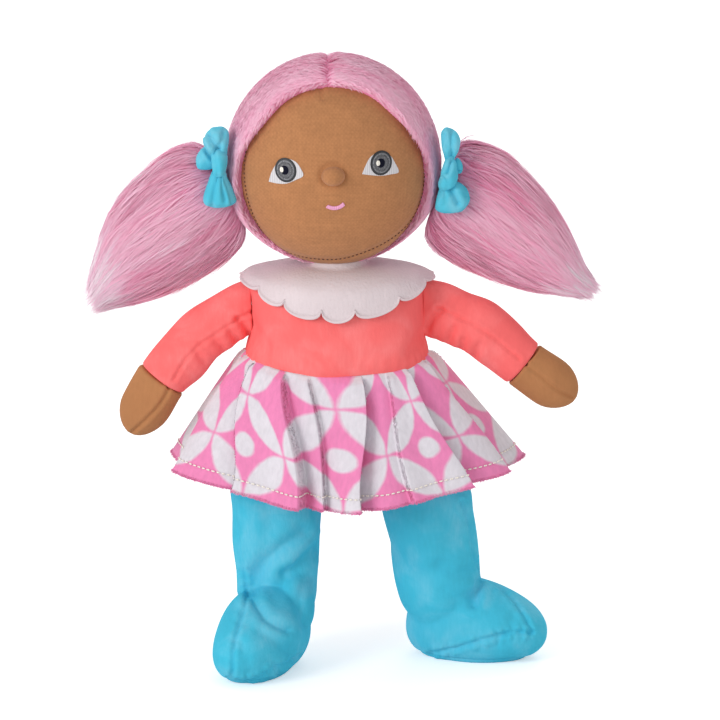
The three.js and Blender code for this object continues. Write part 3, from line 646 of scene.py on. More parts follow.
def printed_plush(name, colours, repeat):
    """Short polyester plush with a printed pattern of four-petalled rosettes in a half drop.

    The pattern is the common one of overlapping circles. The print bleeds a little into the pile."""
    material, node = blank(name)
    across = (round(SKIRT_AROUND / repeat), SKIRT_LENGTH / repeat, 1.0)
    scaled = node("Mapping", Vector=node("UVMap", uv_map="pattern"), Scale=across)
    blur = node("TexNoise", Vector=scaled, Scale=5.0, Detail=4.0, output=1)
    bleed = node("VectorMath", [blur, (0.05, 0.05, 0.0), (-0.025, -0.025, 0.0)], operation="MULTIPLY_ADD")
    moved = node("VectorMath", [scaled, bleed], operation="ADD")
    circles = []
    for corner in (0.5, 1.0):
        offset = node("VectorMath", [moved, (corner, corner, 0.0)], operation="ADD")
        cell = node("VectorMath", [offset], operation="FRACTION")
        middle = node("VectorMath", [cell, (0.5, 0.5, 0.0)], operation="SUBTRACT")
        flat = node("VectorMath", [middle, (1.0, 1.0, 0.0)], operation="MULTIPLY")
        far = node("VectorMath", [flat], "Value", operation="LENGTH")
        circles.append(node("MapRange", [far, 0.475, 0.505, 1.0, 0.0]))
    petals = node("Math", circles, operation="MULTIPLY")
    dots = node("MapRange", [far, 0.1, 0.13, 1.0, 0.0])
    motif = node("Math", [petals, dots], operation="MAXIMUM")
    inks = {0: motif, 6: rgba(colours.print_pink), 7: rgba(colours.print_pale)}
    printed = node("Mix", inks, 2, data_type="RGBA")
    place = node("TexCoord", output="Object")
    laid = node("Mapping", Vector=place, Scale=(1.0, 1.0, 0.3))
    nap = node("TexNoise", Vector=laid, Scale=1 / (2.5 * MM), Detail=4.0)
    lie = node("MapRange", [nap, 0.3, 0.7, 0.94, 1.06])
    toned = node("VectorMath", {0: printed, "Scale": lie}, operation="SCALE")
    fine = node("TexNoise", Vector=place, Scale=1 / (1.2 * MM), Detail=2.0)
    bump = node("Bump", Strength=0.5, Distance=0.3 * MM, Height=fine)
    shader = node(
        "BsdfPrincipled", Base_Color=toned, Normal=bump, Roughness=0.8, Specular_IOR_Level=0.2,
        Sheen_Weight=0.35, Sheen_Roughness=0.4,
    )
    node("OutputMaterial", Surface=shader)
    return material


FABRICS = {
    "skin velour": ("skin_fabric", velour, "skin", {"grain": 0.9, "depth": 0.14, "mottle": 0.07, "sheen": 0.12}),
    "skin twill": ("skin_fabric", face_cloth, "skin", {}),
    "brown thread": ("skin_fabric", thread, "face_thread", {}),
    # A velour's last setting is the strength of its painted sheen, the paler patches where the nap lies over.
    "coral velour": ("velour_coral", velour, "coral", {"mottle": 0.05, "sheen": 0.45, "stroked": 0.22}),
    "blue velour": ("velour_blue", velour, "blue", {"mottle": 0.06, "stroked": 0.26}),
    "bow velour": ("velour_blue", velour, "bow", {"mottle": 0.05, "stroked": 0.4}),
    "white plush": ("collar_plush", velour, "collar", {"grain": 1.6, "depth": 0.6, "mottle": 0.045, "sheen": 0.3}),
    # The backing's deep pink is painted shade for where it shows between the strands.
    "pink backing": ("pink_plush", velour, "pink_deep_and_shade", {"grain": 2.2, "depth": 0.5, "mottle": 0.06, "sheen": 0.3}),
    "pink plush": ("pink_plush", pile_strand, None, {}),
    "printed plush": ("skirt_print", printed_plush, None, {}),
    "hem thread": ("skirt_print", thread, "hem_thread", {}),
    "iris thread": ("iris_thread", iris_thread, None, {}),
    "pupil thread": ("pupil_thread", thread, "pupil", {"gloss": 0.1}),
    "white thread": ("eye_white", thread, "eye_white", {"along": (1.0, 1.0, 0.25)}),
    "glint thread": ("eye_white", thread, "hem_thread", {}),
    "pink thread": ("mouth_thread", thread, "mouth", {}),
}  # each material's slot, its maker, the colour that it takes, or None for all of them, and its settings


def give(piece, name, colours, body=None, stands_for=(), fill=None, **more):
    """Finishes a piece: its material, made when first asked for, its body and the nodes that it stands for."""
    slot, maker, tone, settings = FABRICS[name]
    source = tuple(getattr(colours, tone)) if tone else colours
    piece.data.materials.clear()
    piece.data.materials.append(bpy.data.materials.get(name) or maker(name, source, **settings, **more))
    if stands_for:
        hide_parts(*stands_for)
    if body:
        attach(piece, body)


# ---------------------------------------------------------------- head


HEAD_MIDDLE = np.array([0, 0, 308.6])
HEAD_HALF = np.array([58.5, 50, 61])
NECK_PIVOT = np.array([0, 0, 262.0])
LEAN = math.radians(-3)  # the head's tilt to one side
PILE = 6.0  # how high the plush stands on the head
PANEL = 1.5  # the face panel's thickness with its wadding
HAIRLINE_TOP = HEAD_MIDDLE + [0, -25, 0.87 * HEAD_HALF[2]]
HAIRLINE_CHIN = HEAD_MIDDLE + [0, -10, -0.97 * HEAD_HALF[2]]
HAIRLINE = HAIRLINE_TOP - HAIRLINE_CHIN
FACEWARD = unit(np.array([0, -HAIRLINE[2], HAIRLINE[1]]))  # square to the hairline, towards the face
FACE_STITCHING = [
    (247, 150), (245, 168), (246, 186), (250, 204), (257, 221), (267, 236), (281, 247), (298, 254.5), (318, 258),
    (340, 258), (361, 252.5), (381, 244), (399, 232), (413, 216), (421, 197), (424, 178), (424, 160), (421, 144),
]  # all such places are the photograph's pixels
NOSE_RING = (333, 175.5), (11.5, 10)
MOUTH = [(327.6, 206.0), (331.5, 207.5), (336, 207.8), (340.6, 206.4), (344, 203.8)]


def leaned(points):
    """Tips points of the upright head with it, about the middle of the neck's dome."""
    x, y, z = np.moveaxis(np.asarray(points, float) - NECK_PIVOT, -1, 0)
    c, s = math.cos(LEAN), math.sin(LEAN)
    return np.stack([x * c + z * s, y, z * c - x * s], -1) + NECK_PIVOT


def leaned_directions(vectors):
    """Tips directions with the head."""
    return leaned(vectors + NECK_PIVOT) - NECK_PIVOT


def hair_edge(points):
    """How far points of the upright head lie in front of the hair's edge, which bends in over the temples."""
    off = points - HEAD_MIDDLE
    turn = np.degrees(np.arctan2(np.abs(off[..., 0]), off[..., 2]))
    over = 3.8 * bell(turn - 50, 20) + 1.0
    return (points - HAIRLINE_TOP) @ FACEWARD - over


def face_point(x, z, lift=0.0):
    """The place on the upright face at x and z from the head's middle, and the way that it faces."""
    x, z = np.asarray(x, float), np.asarray(z, float)
    y = -HEAD_HALF[1] * np.sqrt(np.clip(1 - (x / HEAD_HALF[0]) ** 2 - (z / HEAD_HALF[2]) ** 2, 0.01, 1))
    out = unit(np.stack([x, y, z], -1) / HEAD_HALF**2)
    return np.stack([x, y, z], -1) + HEAD_MIDDLE + out * lift, out


def face_spot(px, py):
    """The x and z on the upright face at a pixel of the photograph."""
    across, up = from_photo(px, py)
    c, s = math.cos(-LEAN), math.sin(-LEAN)
    x, z = across, 0.0
    for _ in range(30):  # the face's depth there comes from its place, so it is found in turns
        y = face_point(x, z)[0][1]
        height = (up - y * RISE) / LEVEL - NECK_PIVOT[2]
        x = across * c + height * s
        z = height * c - across * s + NECK_PIVOT[2] - HEAD_MIDDLE[2]
    return x, z


def face_line(pixels, many, lift, pitch):
    """Evenly spaced places on the face along a line of pixels, and the ways that the line runs and the face looks."""
    spots = np.array([face_spot(*p) for p in smooth_line(pixels, np.linspace(0, 1, many))])
    places, run = even_places(face_point(spots[:, 0], spots[:, 1], lift)[0], pitch)
    return places, run, face_point(places[:, 0], places[:, 2] - HEAD_MIDDLE[2])[1]


def face_stitches(name, places, runs, outward, length_mm, thick):
    """Stitches on the face of the leaned head."""
    return stitches(name, leaned(places), leaned_directions(runs), leaned_directions(outward), length_mm, thick)


def make_face(sizes, colours):
    """The face panel: an egg of brown twill that runs in under the hair."""
    rows, columns = 90, 180
    turn = circle(columns)
    share = np.linspace(0, 1, rows + 1)[1:]
    polar = np.zeros(columns)
    for j, angle in enumerate(turn):
        tries = np.linspace(0.9, 2.2, 400)
        way = np.stack([np.sin(tries) * math.cos(angle), -np.cos(tries), np.sin(tries) * math.sin(angle)], 1)
        ahead = (way * HEAD_HALF + HEAD_MIDDLE - HAIRLINE_TOP) @ FACEWARD
        polar[j] = tries[np.argmax(ahead < -0.6)]
    reach = share[:, None] * polar[None]
    way = np.stack([np.sin(reach) * np.cos(turn), -np.cos(reach), np.sin(reach) * np.sin(turn)], -1)
    outer = way * HEAD_HALF + HEAD_MIDDLE
    inner = way[::-1] * (HEAD_HALF - PANEL) + HEAD_MIDDLE
    front = np.array([[0, -HEAD_HALF[1], 0], [0, -HEAD_HALF[1] + PANEL, 0]]) + HEAD_MIDDLE
    face = loft("face", leaned(np.vstack([outer, inner])), leaned(front))
    for x in (-1.0, 1.0):  # the small dart under the parting
        press(face, [(321.5 + x, 88), (322.5 + x * 0.4, 100)], 1.1, 0.55)
    press(face, FACE_STITCHING, 0.9, 0.45, pucker=0.1)
    (across, down), (wide, tall) = NOSE_RING
    ring = [(across + wide * math.cos(a), down + tall * math.sin(a)) for a in np.linspace(0, 2 * math.pi, 25)]
    press(face, ring, 1.6, 0.7)
    give(face, "skin twill", colours, "head", ["face_panel", "head_stuffing"], fill=0.9)
    places, _, out = face_line(FACE_STITCHING, 160, -0.12, sizes.face_stitch / MM)
    row = face_stitches("face_stitching", places, unit(np.gradient(places, axis=0)), out, 1.5, 0.65)
    give(row, "brown thread", colours, "head")


def patch(name, outline, lift, thick, dome, rings=10):
    """An embroidered patch on the face: outline is x and z from the head's middle, and it stands out by dome."""
    outline = np.asarray(outline, float)
    middle = outline.mean(0)
    shares = np.sin(np.linspace(0, math.pi / 2, rings + 1)[1:])
    rows = []
    for share in shares:
        flat = middle + (outline - middle) * share
        rows.append(face_point(flat[:, 0], flat[:, 1], lift + thick + dome * math.sqrt(1 - share**2 + 1e-9))[0])
    rows.append(face_point(outline[:, 0], outline[:, 1], -0.3)[0])
    top = face_point(*middle, lift + thick + dome)[0]
    bottom = face_point(*middle, -0.3)[0]
    return loft(name, leaned(np.array(rows)), leaned(np.array([top, bottom])))


def oval(x, z, wide, tall, sides=64):
    """Points round an oval."""
    angle = circle(sides)
    return np.stack([x + wide / 2 * np.cos(angle), z + tall / 2 * np.sin(angle)], 1)


EYES = {
    "left": {
        "iris": (287, 170.5),
        "white": [
            (270, 181.5), (273, 172), (279, 163), (288, 159.5), (296, 162), (301, 168), (304, 176), (297, 180),
            (288, 183.5), (279, 183.5),
        ],
    },
    "right": {
        "iris": (380.5, 163.5),
        "white": [
            (362, 174.5), (366, 165), (371, 157), (380, 152.5), (389, 155.5), (394, 162.5), (398, 172),
            (390, 174.5), (380.5, 176), (371, 175.5),
        ],
    },
}


def make_eyes(sizes, colours):
    """Each eye: a white in satin stitch, a ringed iris, a dark pupil and its glint."""
    for side, eye in EYES.items():
        points = np.array(eye["white"] + eye["white"][:1], float)
        outline = smooth_line(points, np.linspace(0, 1, 73)[:-1])
        ball = patch(f"eye_white_sewn_{side}", [face_spot(*p) for p in outline], 0.1, 0.25, 0.15)
        give(ball, "white thread", colours, "head", [f"eye_white_{side}"])
        x, z = face_spot(*eye["iris"])
        ring = patch(f"iris_sewn_{side}", oval(x, z, 12.6, 14.4), 0.45, 0.2, 0.5, rings=16)
        give(ring, "iris thread", colours, "head", [f"iris_{side}"])
        dark = patch(f"pupil_sewn_{side}", oval(x - 0.4, z + 0.1, 4.8, 5.4, 40), 0.9, 0.2, 0.3)
        give(dark, "pupil thread", colours, "head", [f"pupil_{side}"])
        spark = patch(f"glint_{side}", oval(x - 2.0, z + 0.3, 2.2, 3.2, 24), 1.1, 0.2, 0.3, rings=5)
        give(spark, "glint thread", colours, "head")


def make_nose(sizes, colours):
    """The nose: a small stuffed ball, drawn in where it is sewn to the face."""
    middle, _ = face_point(0.4, 4.3, -0.2)
    steps, around = 26, 48
    angle = circle(around)
    reach = np.linspace(0.12, math.pi * 0.86, steps)
    size = np.sin(reach)[:, None]
    depth = np.cos(reach)[:, None] * 8.6 - 0.4
    wide, tall = 6.9 * size * np.cos(angle), 5.8 * size * np.sin(angle)
    off = np.stack([wide, np.broadcast_to(-depth, (steps, around)), tall], -1)
    ball = loft("nose_ball", leaned(middle + off), leaned(middle + np.array([[0, -8.2, 0], [0, 6.5, 0]])))
    uneven(ball, 9, 0.18, 5)
    give(ball, "skin twill", colours, "head", ["nose"], fill=0.9)


def make_mouth(sizes, colours):
    """The mouth: satin stitches side by side across a short curved line."""
    places, run, out = face_line(MOUTH, 40, 0.35, 0.42)
    across = unit(np.cross(out, run) + 0.25 * run)
    bar = face_stitches("mouth_stitching", places, across, out, 2.7, 0.9)
    give(bar, "pink thread", colours, "head", ["mouth_stitch"])


def cap_point(way, rise):
    """The place on the upright head's plush in a direction, that far above the fabric, and its outward way."""
    out = unit(way / HEAD_HALF)
    height = rise * np.clip((way[..., 2] + 1) / 0.7, 0.12, 1)
    return way * HEAD_HALF + HEAD_MIDDLE + out * height[..., None], out


def make_hair_caps(sizes, colours):
    """The two plush halves of the head, combed from the parting round each side."""
    for side, sign in SIDES.items():
        rng = np.random.default_rng(11 + sign)
        base = cap_base(f"hair_cap_cloth_{side}", sign)
        give(base, "pink backing", colours, "head", [f"hair_cap_{side}"], fill=0.8)
        way = unit(rng.normal(size=(11 * sizes.cap_strands, 3)))
        way[:, 0] = sign * np.abs(way[:, 0])
        root, out = cap_point(way, 2.6)
        under_head = (np.hypot(root[:, 0], root[:, 1]) < 24) & (root[:, 2] < HEAD_MIDDLE[2])
        near = hair_edge(root)
        keep = (near < 0) & ~under_head & ((near > -5) | (rng.uniform(size=len(near)) < 0.4))
        root, out, way = (each[keep][: sizes.cap_strands] for each in (root, out, way))
        many = len(root)
        rim = (hair_edge(root) > -2.2) & (rng.uniform(size=many) < 0.4)
        ahead = rng.uniform(0.0, 0.7, many) - hair_edge(root)
        root = root + rim[:, None] * (ahead[:, None] * FACEWARD - rng.uniform(0.0, 2.8, (many, 1)) * out)
        off = root - HEAD_MIDDLE
        comb = sign * unit(np.stack([off[:, 2], 0 * off[:, 0], -off[:, 0]], 1))
        flow = np.stack([lumps(root, 26, seed) for seed in (1, 2, 3)], 1)
        at_edge = np.exp(hair_edge(root) / 3)[:, None]
        lean = 0.3 * at_edge + rim[:, None] * rng.uniform(0.1, 0.9, (many, 1))
        comb = comb + 0.2 * flow + 0.07 * rng.normal(size=comb.shape) + lean * FACEWARD
        comb = unit(comb - (comb * out).sum(1, keepdims=True) * out)
        near_seam = np.exp(-np.abs(root[:, 0:1]) / 3.0)
        root[:, 0] -= sign * near_seam[:, 0] * rng.uniform(0.0, 2.4, many)
        size = (sizes.cap_pile / MM) * rng.uniform(0.75, 1.1, (many, 1)) * (1 - 0.25 * near_seam)
        size = size * np.clip((way[:, 2:3] + 1.15) / 0.8, 0.45, 1) * np.where(rim[:, None], 0.6, 1.0)
        rise = (PILE - 2.2) * rng.uniform(0.8, 1.05, (many, 1)) * np.clip((way[:, 2:3] + 1) / 0.7, 0.15, 1)
        steps = np.array([-0.05, 0.35, 0.7, 1.0])[None, :, None]
        lift = np.array([-0.3, 0.7, 1.0, 0.9])[None, :, None]
        paths = root[:, None] + comb[:, None] * size[:, None] * steps + out[:, None] * (rise[:, None] * lift)
        paths -= out[:, None] * (size[:, None] * steps) ** 2 / 125
        arc = 60 * np.arctan2(np.abs(off[:, 0]), off[:, 2])
        streak_place = np.stack([root[:, 1] + 0.12 * arc, 0.13 * arc, 0 * arc], 1)
        shade = 0.59 + 0.065 * lumps(streak_place, 2.6, 21 + sign) + 0.05 * lumps(root, 20, 5)
        shade = np.clip(shade + 0.025 * rng.normal(size=many), 0.05, 0.93)
        turned = np.where(rim, 1.4, 0.9 * np.exp(hair_edge(root) / 4))[:, None] * FACEWARD  # it shows its side there
        flat = unit(out + turned + 0.2 * rng.normal(size=out.shape))
        fur = ribbons(
            f"hair_cap_pile_{side}", leaned(paths), leaned_directions(flat), rng.uniform(0.6, 1.0, many), shade
        )
        give(fur, "pink plush", colours, "head")


def cap_base(name, sign):
    """The cloth under one half of the plush, from the parting to the hair's edge, closed within the head."""
    rows, columns = 70, 90
    turn = np.linspace(0, math.pi, columns)  # from the crown's parting round the side to the one under the head
    back = np.linspace(0, 1, rows)
    grid = np.zeros((rows, columns, 3))
    for j, angle in enumerate(turn):
        polar = np.linspace(0.5, math.pi, 600)
        way = np.stack([sign * np.sin(polar) * math.sin(angle), -np.cos(polar), np.sin(polar) * math.cos(angle)], 1)
        place, _ = cap_point(way, 2.2)
        first = polar[np.argmax(hair_edge(place) < 0)]
        reach = first + (math.pi - 0.002 - first) * back
        way = np.stack([sign * np.sin(reach) * math.sin(angle), -np.cos(reach), np.sin(reach) * math.cos(angle)], 1)
        place, out = cap_point(way, 2.4)
        tuck = 1.5 * bell(place[:, 0], 2.6)
        grid[:, j] = place - out * tuck[:, None]
    grid[:, :, 0] = sign * np.maximum(np.abs(grid[:, :, 0]), 0.15)
    inner = HEAD_MIDDLE + (grid - HEAD_MIDDLE) * 0.955
    inner[:, :, 0] = sign * np.maximum(np.abs(inner[:, :, 0]), 0.15)
    quads, _, _ = grid_faces(rows, columns, closed=False)
    size = rows * columns
    edge = [*range(columns), *range(2 * columns - 1, size, columns), *range(size - 2, size - columns - 1, -1)]
    edge += [*range(size - 2 * columns, 0, -columns)]
    faces = quads.tolist() + (quads[:, ::-1] + size).tolist()
    for a, b in zip(edge, edge[1:] + edge[:1]):
        faces.append([a, b, b + size, a + size])
    base = new_piece(name, leaned(np.concatenate([grid, inner]).reshape(-1, 3)), faces)
    face_outwards(base)
    return base


# ---------------------------------------------------------------- bunches and bows


BUNCH_OUTLINES = {
    "left": [
        ((226, 166), (238, 200)), ((211, 150), (246, 226)), ((192, 143), (241, 244)), ((168, 152), (223, 260)),
        ((145, 171), (198, 276)), ((125, 191), (175, 288)), ((111, 211), (151, 296)), ((101, 236), (129, 302)),
        ((94, 262), (110, 306)), ((90, 288), (97, 308)),
    ],
    "right": [
        ((447, 160), (433, 208)), ((462, 139), (424, 232)), ((481, 142), (434, 248)), ((507, 154), (456, 261)),
        ((532, 178), (484, 274)), ((552, 203), (511, 283)), ((568, 229), (536, 289)), ((580, 254), (558, 292)),
        ((588, 271), (575, 294)), ((595, 284), (587, 294)),
    ],
}  # where the photograph shows the upper and the lower side, from the bow to the tip
BUNCH_DEPTH = [9, 12.5, 16, 19, 20.5, 20.5, 18.5, 15, 10, 5.5]  # half the depth at each of these places
BUNCH_LENGTH = 108.0


def bunch_stations(side):
    """Stations of one bunch, from its root behind the bow to its tip, and the way that it points."""
    rows = []
    for outline, deep in zip(BUNCH_OUTLINES[side], BUNCH_DEPTH):
        upper, lower = (np.array([x, 0, up / LEVEL]) for x, up in (from_photo(*spot) for spot in outline))
        half = (upper - lower) / 2
        tilt = math.degrees(math.atan2(half[2], half[0]))
        rows.append([*(upper + lower) / 2, np.linalg.norm(half), deep, tilt])
    rows = np.array(rows)
    return rows, unit(rows[-1, :3] - rows[2, :3])


def bunch_point(side, share, turn, depth):
    """Places in a bunch: share runs from root to tip and past it, turn goes round, and depth is 1 at its skin."""
    stations, along = bunch_stations(side)
    rows = smooth_line(stations, share)
    start = np.clip((0.06 - share) / 0.06, 0, 1)
    close = np.sqrt(np.clip(1 - start**2, 0.02, 1))
    tilt = np.radians(rows[..., 5])
    wide = rows[..., 3] * close * np.cos(turn) * depth
    deep = rows[..., 4] * close * np.sin(turn) * depth
    off = np.stack([wide * np.cos(tilt), deep, wide * np.sin(tilt)], -1)
    past = np.maximum(share - 1, 0)[..., None] * BUNCH_LENGTH
    return rows[..., :3] + off + along * past


def make_bunches(sizes, colours):
    """Each bunch: a cloth core and long plush in locks that flow from the bow to a ragged tip."""
    for side, sign in SIDES.items():
        rng = np.random.default_rng(31 + sign)
        body = f"pigtail_{side}"
        shares = np.linspace(0.02, 0.94, 60)
        turn = circle(64)
        rings = bunch_point(side, shares[:, None] + 0 * turn, turn + 0 * shares[:, None], 0.9)
        tips = bunch_point(side, np.array([0.005, 0.955]), np.zeros(2), 0.0)
        core = loft(f"bunch_cloth_{side}", rings, tips)
        give(core, "pink backing", colours, body, [f"pigtail_{side}"], fill=0.7)
        each = 12
        locks = sizes.bunch_locks
        many = locks * each

        def of_lock(values):
            return np.repeat(values, each)

        around = of_lock(rng.uniform(0, 2 * math.pi, locks))
        size = of_lock(rng.uniform(0.6, 1.0, locks)) * rng.uniform(0.85, 1.05, many)
        size = size * (sizes.bunch_hair / MM) / BUNCH_LENGTH
        start = of_lock(rng.uniform(0.0, 1.0, locks) ** 0.9) * 0.9
        start = np.minimum(start, of_lock(rng.uniform(0.9, 1.0, locks)) - size)
        high = of_lock(rng.uniform(0.945, 1.03, locks))[:, None] + rng.normal(size=(many, 1)) * 0.008
        f = np.linspace(0, 1, 7)[None]
        run = start[:, None] + rng.normal(size=(many, 1)) * 0.03 + size[:, None] * f
        spread = rng.normal(size=(many, 1)) * 0.1
        bend = of_lock(rng.normal(size=locks))[:, None] * 0.08
        wave = 0.03 * np.sin(f * 4.5 + of_lock(rng.uniform(0, 6.3, locks))[:, None])
        way = around[:, None] + spread * (1 - 0.7 * f) + bend * f * f + wave
        depth = 0.88 + (high - 0.88) * np.sin(np.clip(f * 1.2, 0, 1) * math.pi / 2)
        loose = np.abs(rng.normal(size=(many, 1))) * np.where(rng.uniform(size=(many, 1)) < 0.12, 0.05, 0.012)
        depth = depth + loose * f * f
        paths = bunch_point(side, np.maximum(run, 0.0), way, depth)
        paths += (rng.normal(size=(many, 1, 3)) * 1.3 * smooth_step((run - 0.8) / 0.25)[..., None]) * [1, 0.7, 1]
        middle = bunch_point(side, np.maximum(run[:, 3], 0), way[:, 3], 0.25 + 0 * way[:, 3])
        out = unit(unit(paths[:, 3] - middle) + 0.42 * rng.normal(size=(many, 3)))
        streak_place = np.stack([25 * np.cos(around), 25 * np.sin(around), 14 * start], 1)
        # Painted light: the left bunch's strands are 0.03 lighter and the right bunch's 0.03 darker, as if lit from
        # the left.
        shade = 0.6 - 0.03 * sign + 0.1 * lumps(streak_place, 3.4, 41 + sign) + of_lock(rng.normal(size=locks)) * 0.075
        shade += 0.035 * rng.normal(size=many) + 0.34 * smooth_step((start + size - 0.72) / 0.28)
        # Painted shade: strands that start near the bow are darker, for the shadow there.
        shade -= 0.05 * smooth_step((0.16 - start) / 0.16)
        fur = ribbons(f"bunch_hair_{side}", paths, out, rng.uniform(0.45, 0.9, many), np.clip(shade, 0.03, 0.98))
        give(fur, "pink plush", colours, body)


BOW_LOOPS = {
    "left": {
        "upper": [
            [
                (-20, 0.3), (222, 162, 5, 4), (219.5, 152, 9, 6.5), (217.3, 142, 12.3, 7.5), (218.5, 133, 11.3, 7),
                (221, 127, 8.6, 5),
            ],
            [(-16.5, 0.35), (217, 163, 5, 4), (210, 159.5, 10.5, 6), (203.5, 157.5, 12.3, 6.5), (198, 156, 9.4, 5)],
        ],
        "lower": [
            [
                (-20, 0.2), (220, 170, 5.4, 5), (219.5, 179, 9.6, 7), (219.8, 189, 13.6, 8.5),
                (220.7, 198, 16.4, 8.5), (221.2, 207, 15.4, 6.5),
            ],
        ],
        "knot": [
            [
                (-24, 0.25), (220.8, 149, 6, 5), (220.8, 156, 8, 7), (220.6, 163, 7.6, 7.5), (220.2, 170, 6.2, 6.5),
                (219.8, 177, 5, 5),
            ],
        ],
    },
    "right": {
        "upper": [
            [
                (-20, 0.3), (449.5, 161, 4.6, 4.5), (450.3, 151, 8, 6.5), (450.2, 141, 9.3, 7), (448, 133, 7.8, 6),
                (446, 128, 5.6, 4.5),
            ],
            [(-16, 0.35), (452, 167, 5, 4), (457, 165.5, 7.5, 6), (462, 165.5, 6.2, 5)],
        ],
        "lower": [
            [
                (-20, 0.2), (448, 180, 6.5, 5), (452.5, 187, 13, 8), (453, 197, 16.6, 8.8), (449.5, 206, 14.6, 7.5),
                (446, 212, 11, 5.5),
            ],
        ],
        "knot": [
            [
                (-24, 0.25), (450.6, 156, 4, 4), (450, 164, 6.6, 6.5), (448.6, 174, 8.8, 8), (445.5, 183, 8.2, 7),
                (441.5, 190, 6, 5),
            ],
        ],
    },
}  # each loop: its place from front to back with how far its end rounds, then its middles and half sizes
BOW_FOLDS = {
    "left": {
        "upper": [
            ([(209, 134), (212.5, 140), (218, 147), (218.5, 152)], 1.6, 3.4),
            ([(203.5, 143), (207.5, 151), (213.5, 158.5)], 0.9, 2.6),
            ([(225.5, 132), (224, 141), (219.5, 149)], 1.2, 1.6),
        ],
        "lower": [
            ([(219, 175), (215.5, 189), (213.5, 205)], 1.3, 2.2),
            ([(222, 176), (224.5, 190), (226.5, 200)], 1.1, 2.0), ([(226, 178), (231, 192), (234, 204)], 1.1, 1.6),
        ],
        "knot": [([(215.5, 153), (217, 164), (218.5, 175)], 1.0, 1.0)],
    },
    "right": {
        "upper": [
            ([(450.5, 131), (450.3, 144), (451, 158)], 1.3, 2.4), ([(443.5, 135), (446, 148)], 1.0, 1.3),
            ([(456, 171.5), (460, 172.3), (465, 171.5)], 0.8, 2.0),
        ],
        "lower": [
            ([(447.5, 186), (452, 193), (457, 203)], 1.3, 3.0), ([(441, 190), (441, 203)], 1.2, 1.4),
            ([(464, 184), (466, 195)], 1.3, 1.2),
        ],
        "knot": [([(451, 160), (448.5, 166), (445.5, 172)], 1.1, 2.6), ([(441, 177), (447, 186)], 1.2, 1.2)],
    },
}


def bow_form(name, loop, round_from):
    """A puffed loop of velour along middles that are given as places in the photograph."""
    (front, round_to), *spots = loop
    rows = []
    for px, py, half, deep in spots:
        across, up = from_photo(px, py)
        rows.append([across, front, (up - front * RISE) / LEVEL, half * PIXEL, deep])
    rows = np.array(rows)
    run = rows[-1, :3] - rows[0, :3]
    tilt = math.degrees(math.atan2(run[2], run[0])) - 90
    rows = np.column_stack([rows, np.full(len(rows), tilt)])
    return swell(name, rows, 44, 80, fullness=2.3, round_from=round_from, round_to=round_to)


def make_bows(sizes, colours):
    """Each bow: puffed loops of blue velour and a band that is drawn tight round their middle."""
    for side in SIDES:
        for place, loops in BOW_LOOPS[side].items():
            name = f"bow_{place}_cloth_{side}"
            round_from = 0.2 if place == "knot" else 0.08
            parts = [bow_form(f"{name}_{number}", loop, round_from) for number, loop in enumerate(loops)]
            piece = merged(name, parts, 0.6, 4) if len(parts) > 1 else parts[0]
            piece.name = name
            uneven(piece, 8, 0.3, 3 + len(place))
            press_folds(piece, BOW_FOLDS[side][place], 1.1, 0.75)
            give(piece, "bow velour", colours, "head", [f"bow_{place}_{side}"], fill=0.7)


# ---------------------------------------------------------------- body


TORSO = [
    (149.7, 52, 1.5), (157.7, 54.5, 9.5), (167.7, 56.5, 19.5), (178.7, 56, 29.5), (190, 55, 36.5), (202, 53.5, 37.5),
    (217, 51.8, 36), (228, 51.5, 34), (233, 51.5, 32), (238.5, 45.5, 28), (241.5, 35.5, 23), (243.5, 20, 18),
]  # heights with half the width and half the depth there
TORSO_FOLDS = [
    ([(252, 322), (262, 334), (268, 346)], 3.0, 1.5), ([(424, 330), (415, 340), (410, 350)], 3.0, 1.5),
    ([(262, 352), (290, 348), (316, 352)], 5.0, 0.7), ([(352, 358), (384, 352), (408, 356)], 5.0, 0.8),
]
HIP_HALF, HIP_HEIGHT = 52.0, 148.0  # the bound seam at the bottom of the bag


def make_torso(sizes, colours):
    """The body bag: full at the waist and closed flat at the bottom, with a seam up each side."""
    rows = [[0, 0, z, wide, deep, 0] for z, wide, deep in TORSO]
    bag = swell("torso_cloth", rows, steps=110, around=160, fullness=2.3)
    points, out = points_of(bag)
    seam = bell(points[:, 1], 1.1) * 0.7 * (np.abs(points[:, 0]) > 30)
    under_arm = bell(points[:, 2] - 203, 7) * smooth_step((np.abs(points[:, 0]) - 40) / 10)
    set_points(bag, points - out * (seam + under_arm)[:, None])
    turn = np.arctan2(points[:, 0] / 55, -points[:, 1] / 36)
    waist = bell(points[:, 2] - 193.5, 3.4) * (np.sin(turn * 46) + 0.6 * np.sin(turn * 71 + 1)) * 0.28
    points, out = points_of(bag)
    set_points(bag, points - out * waist[:, None])
    uneven(bag, 24, 0.8, 2)
    press_folds(bag, TORSO_FOLDS)
    stands_for = ["torso_front", "torso_back", "torso_stuffing"]
    give(bag, "coral velour", colours, "torso", stands_for, fill=0.85)


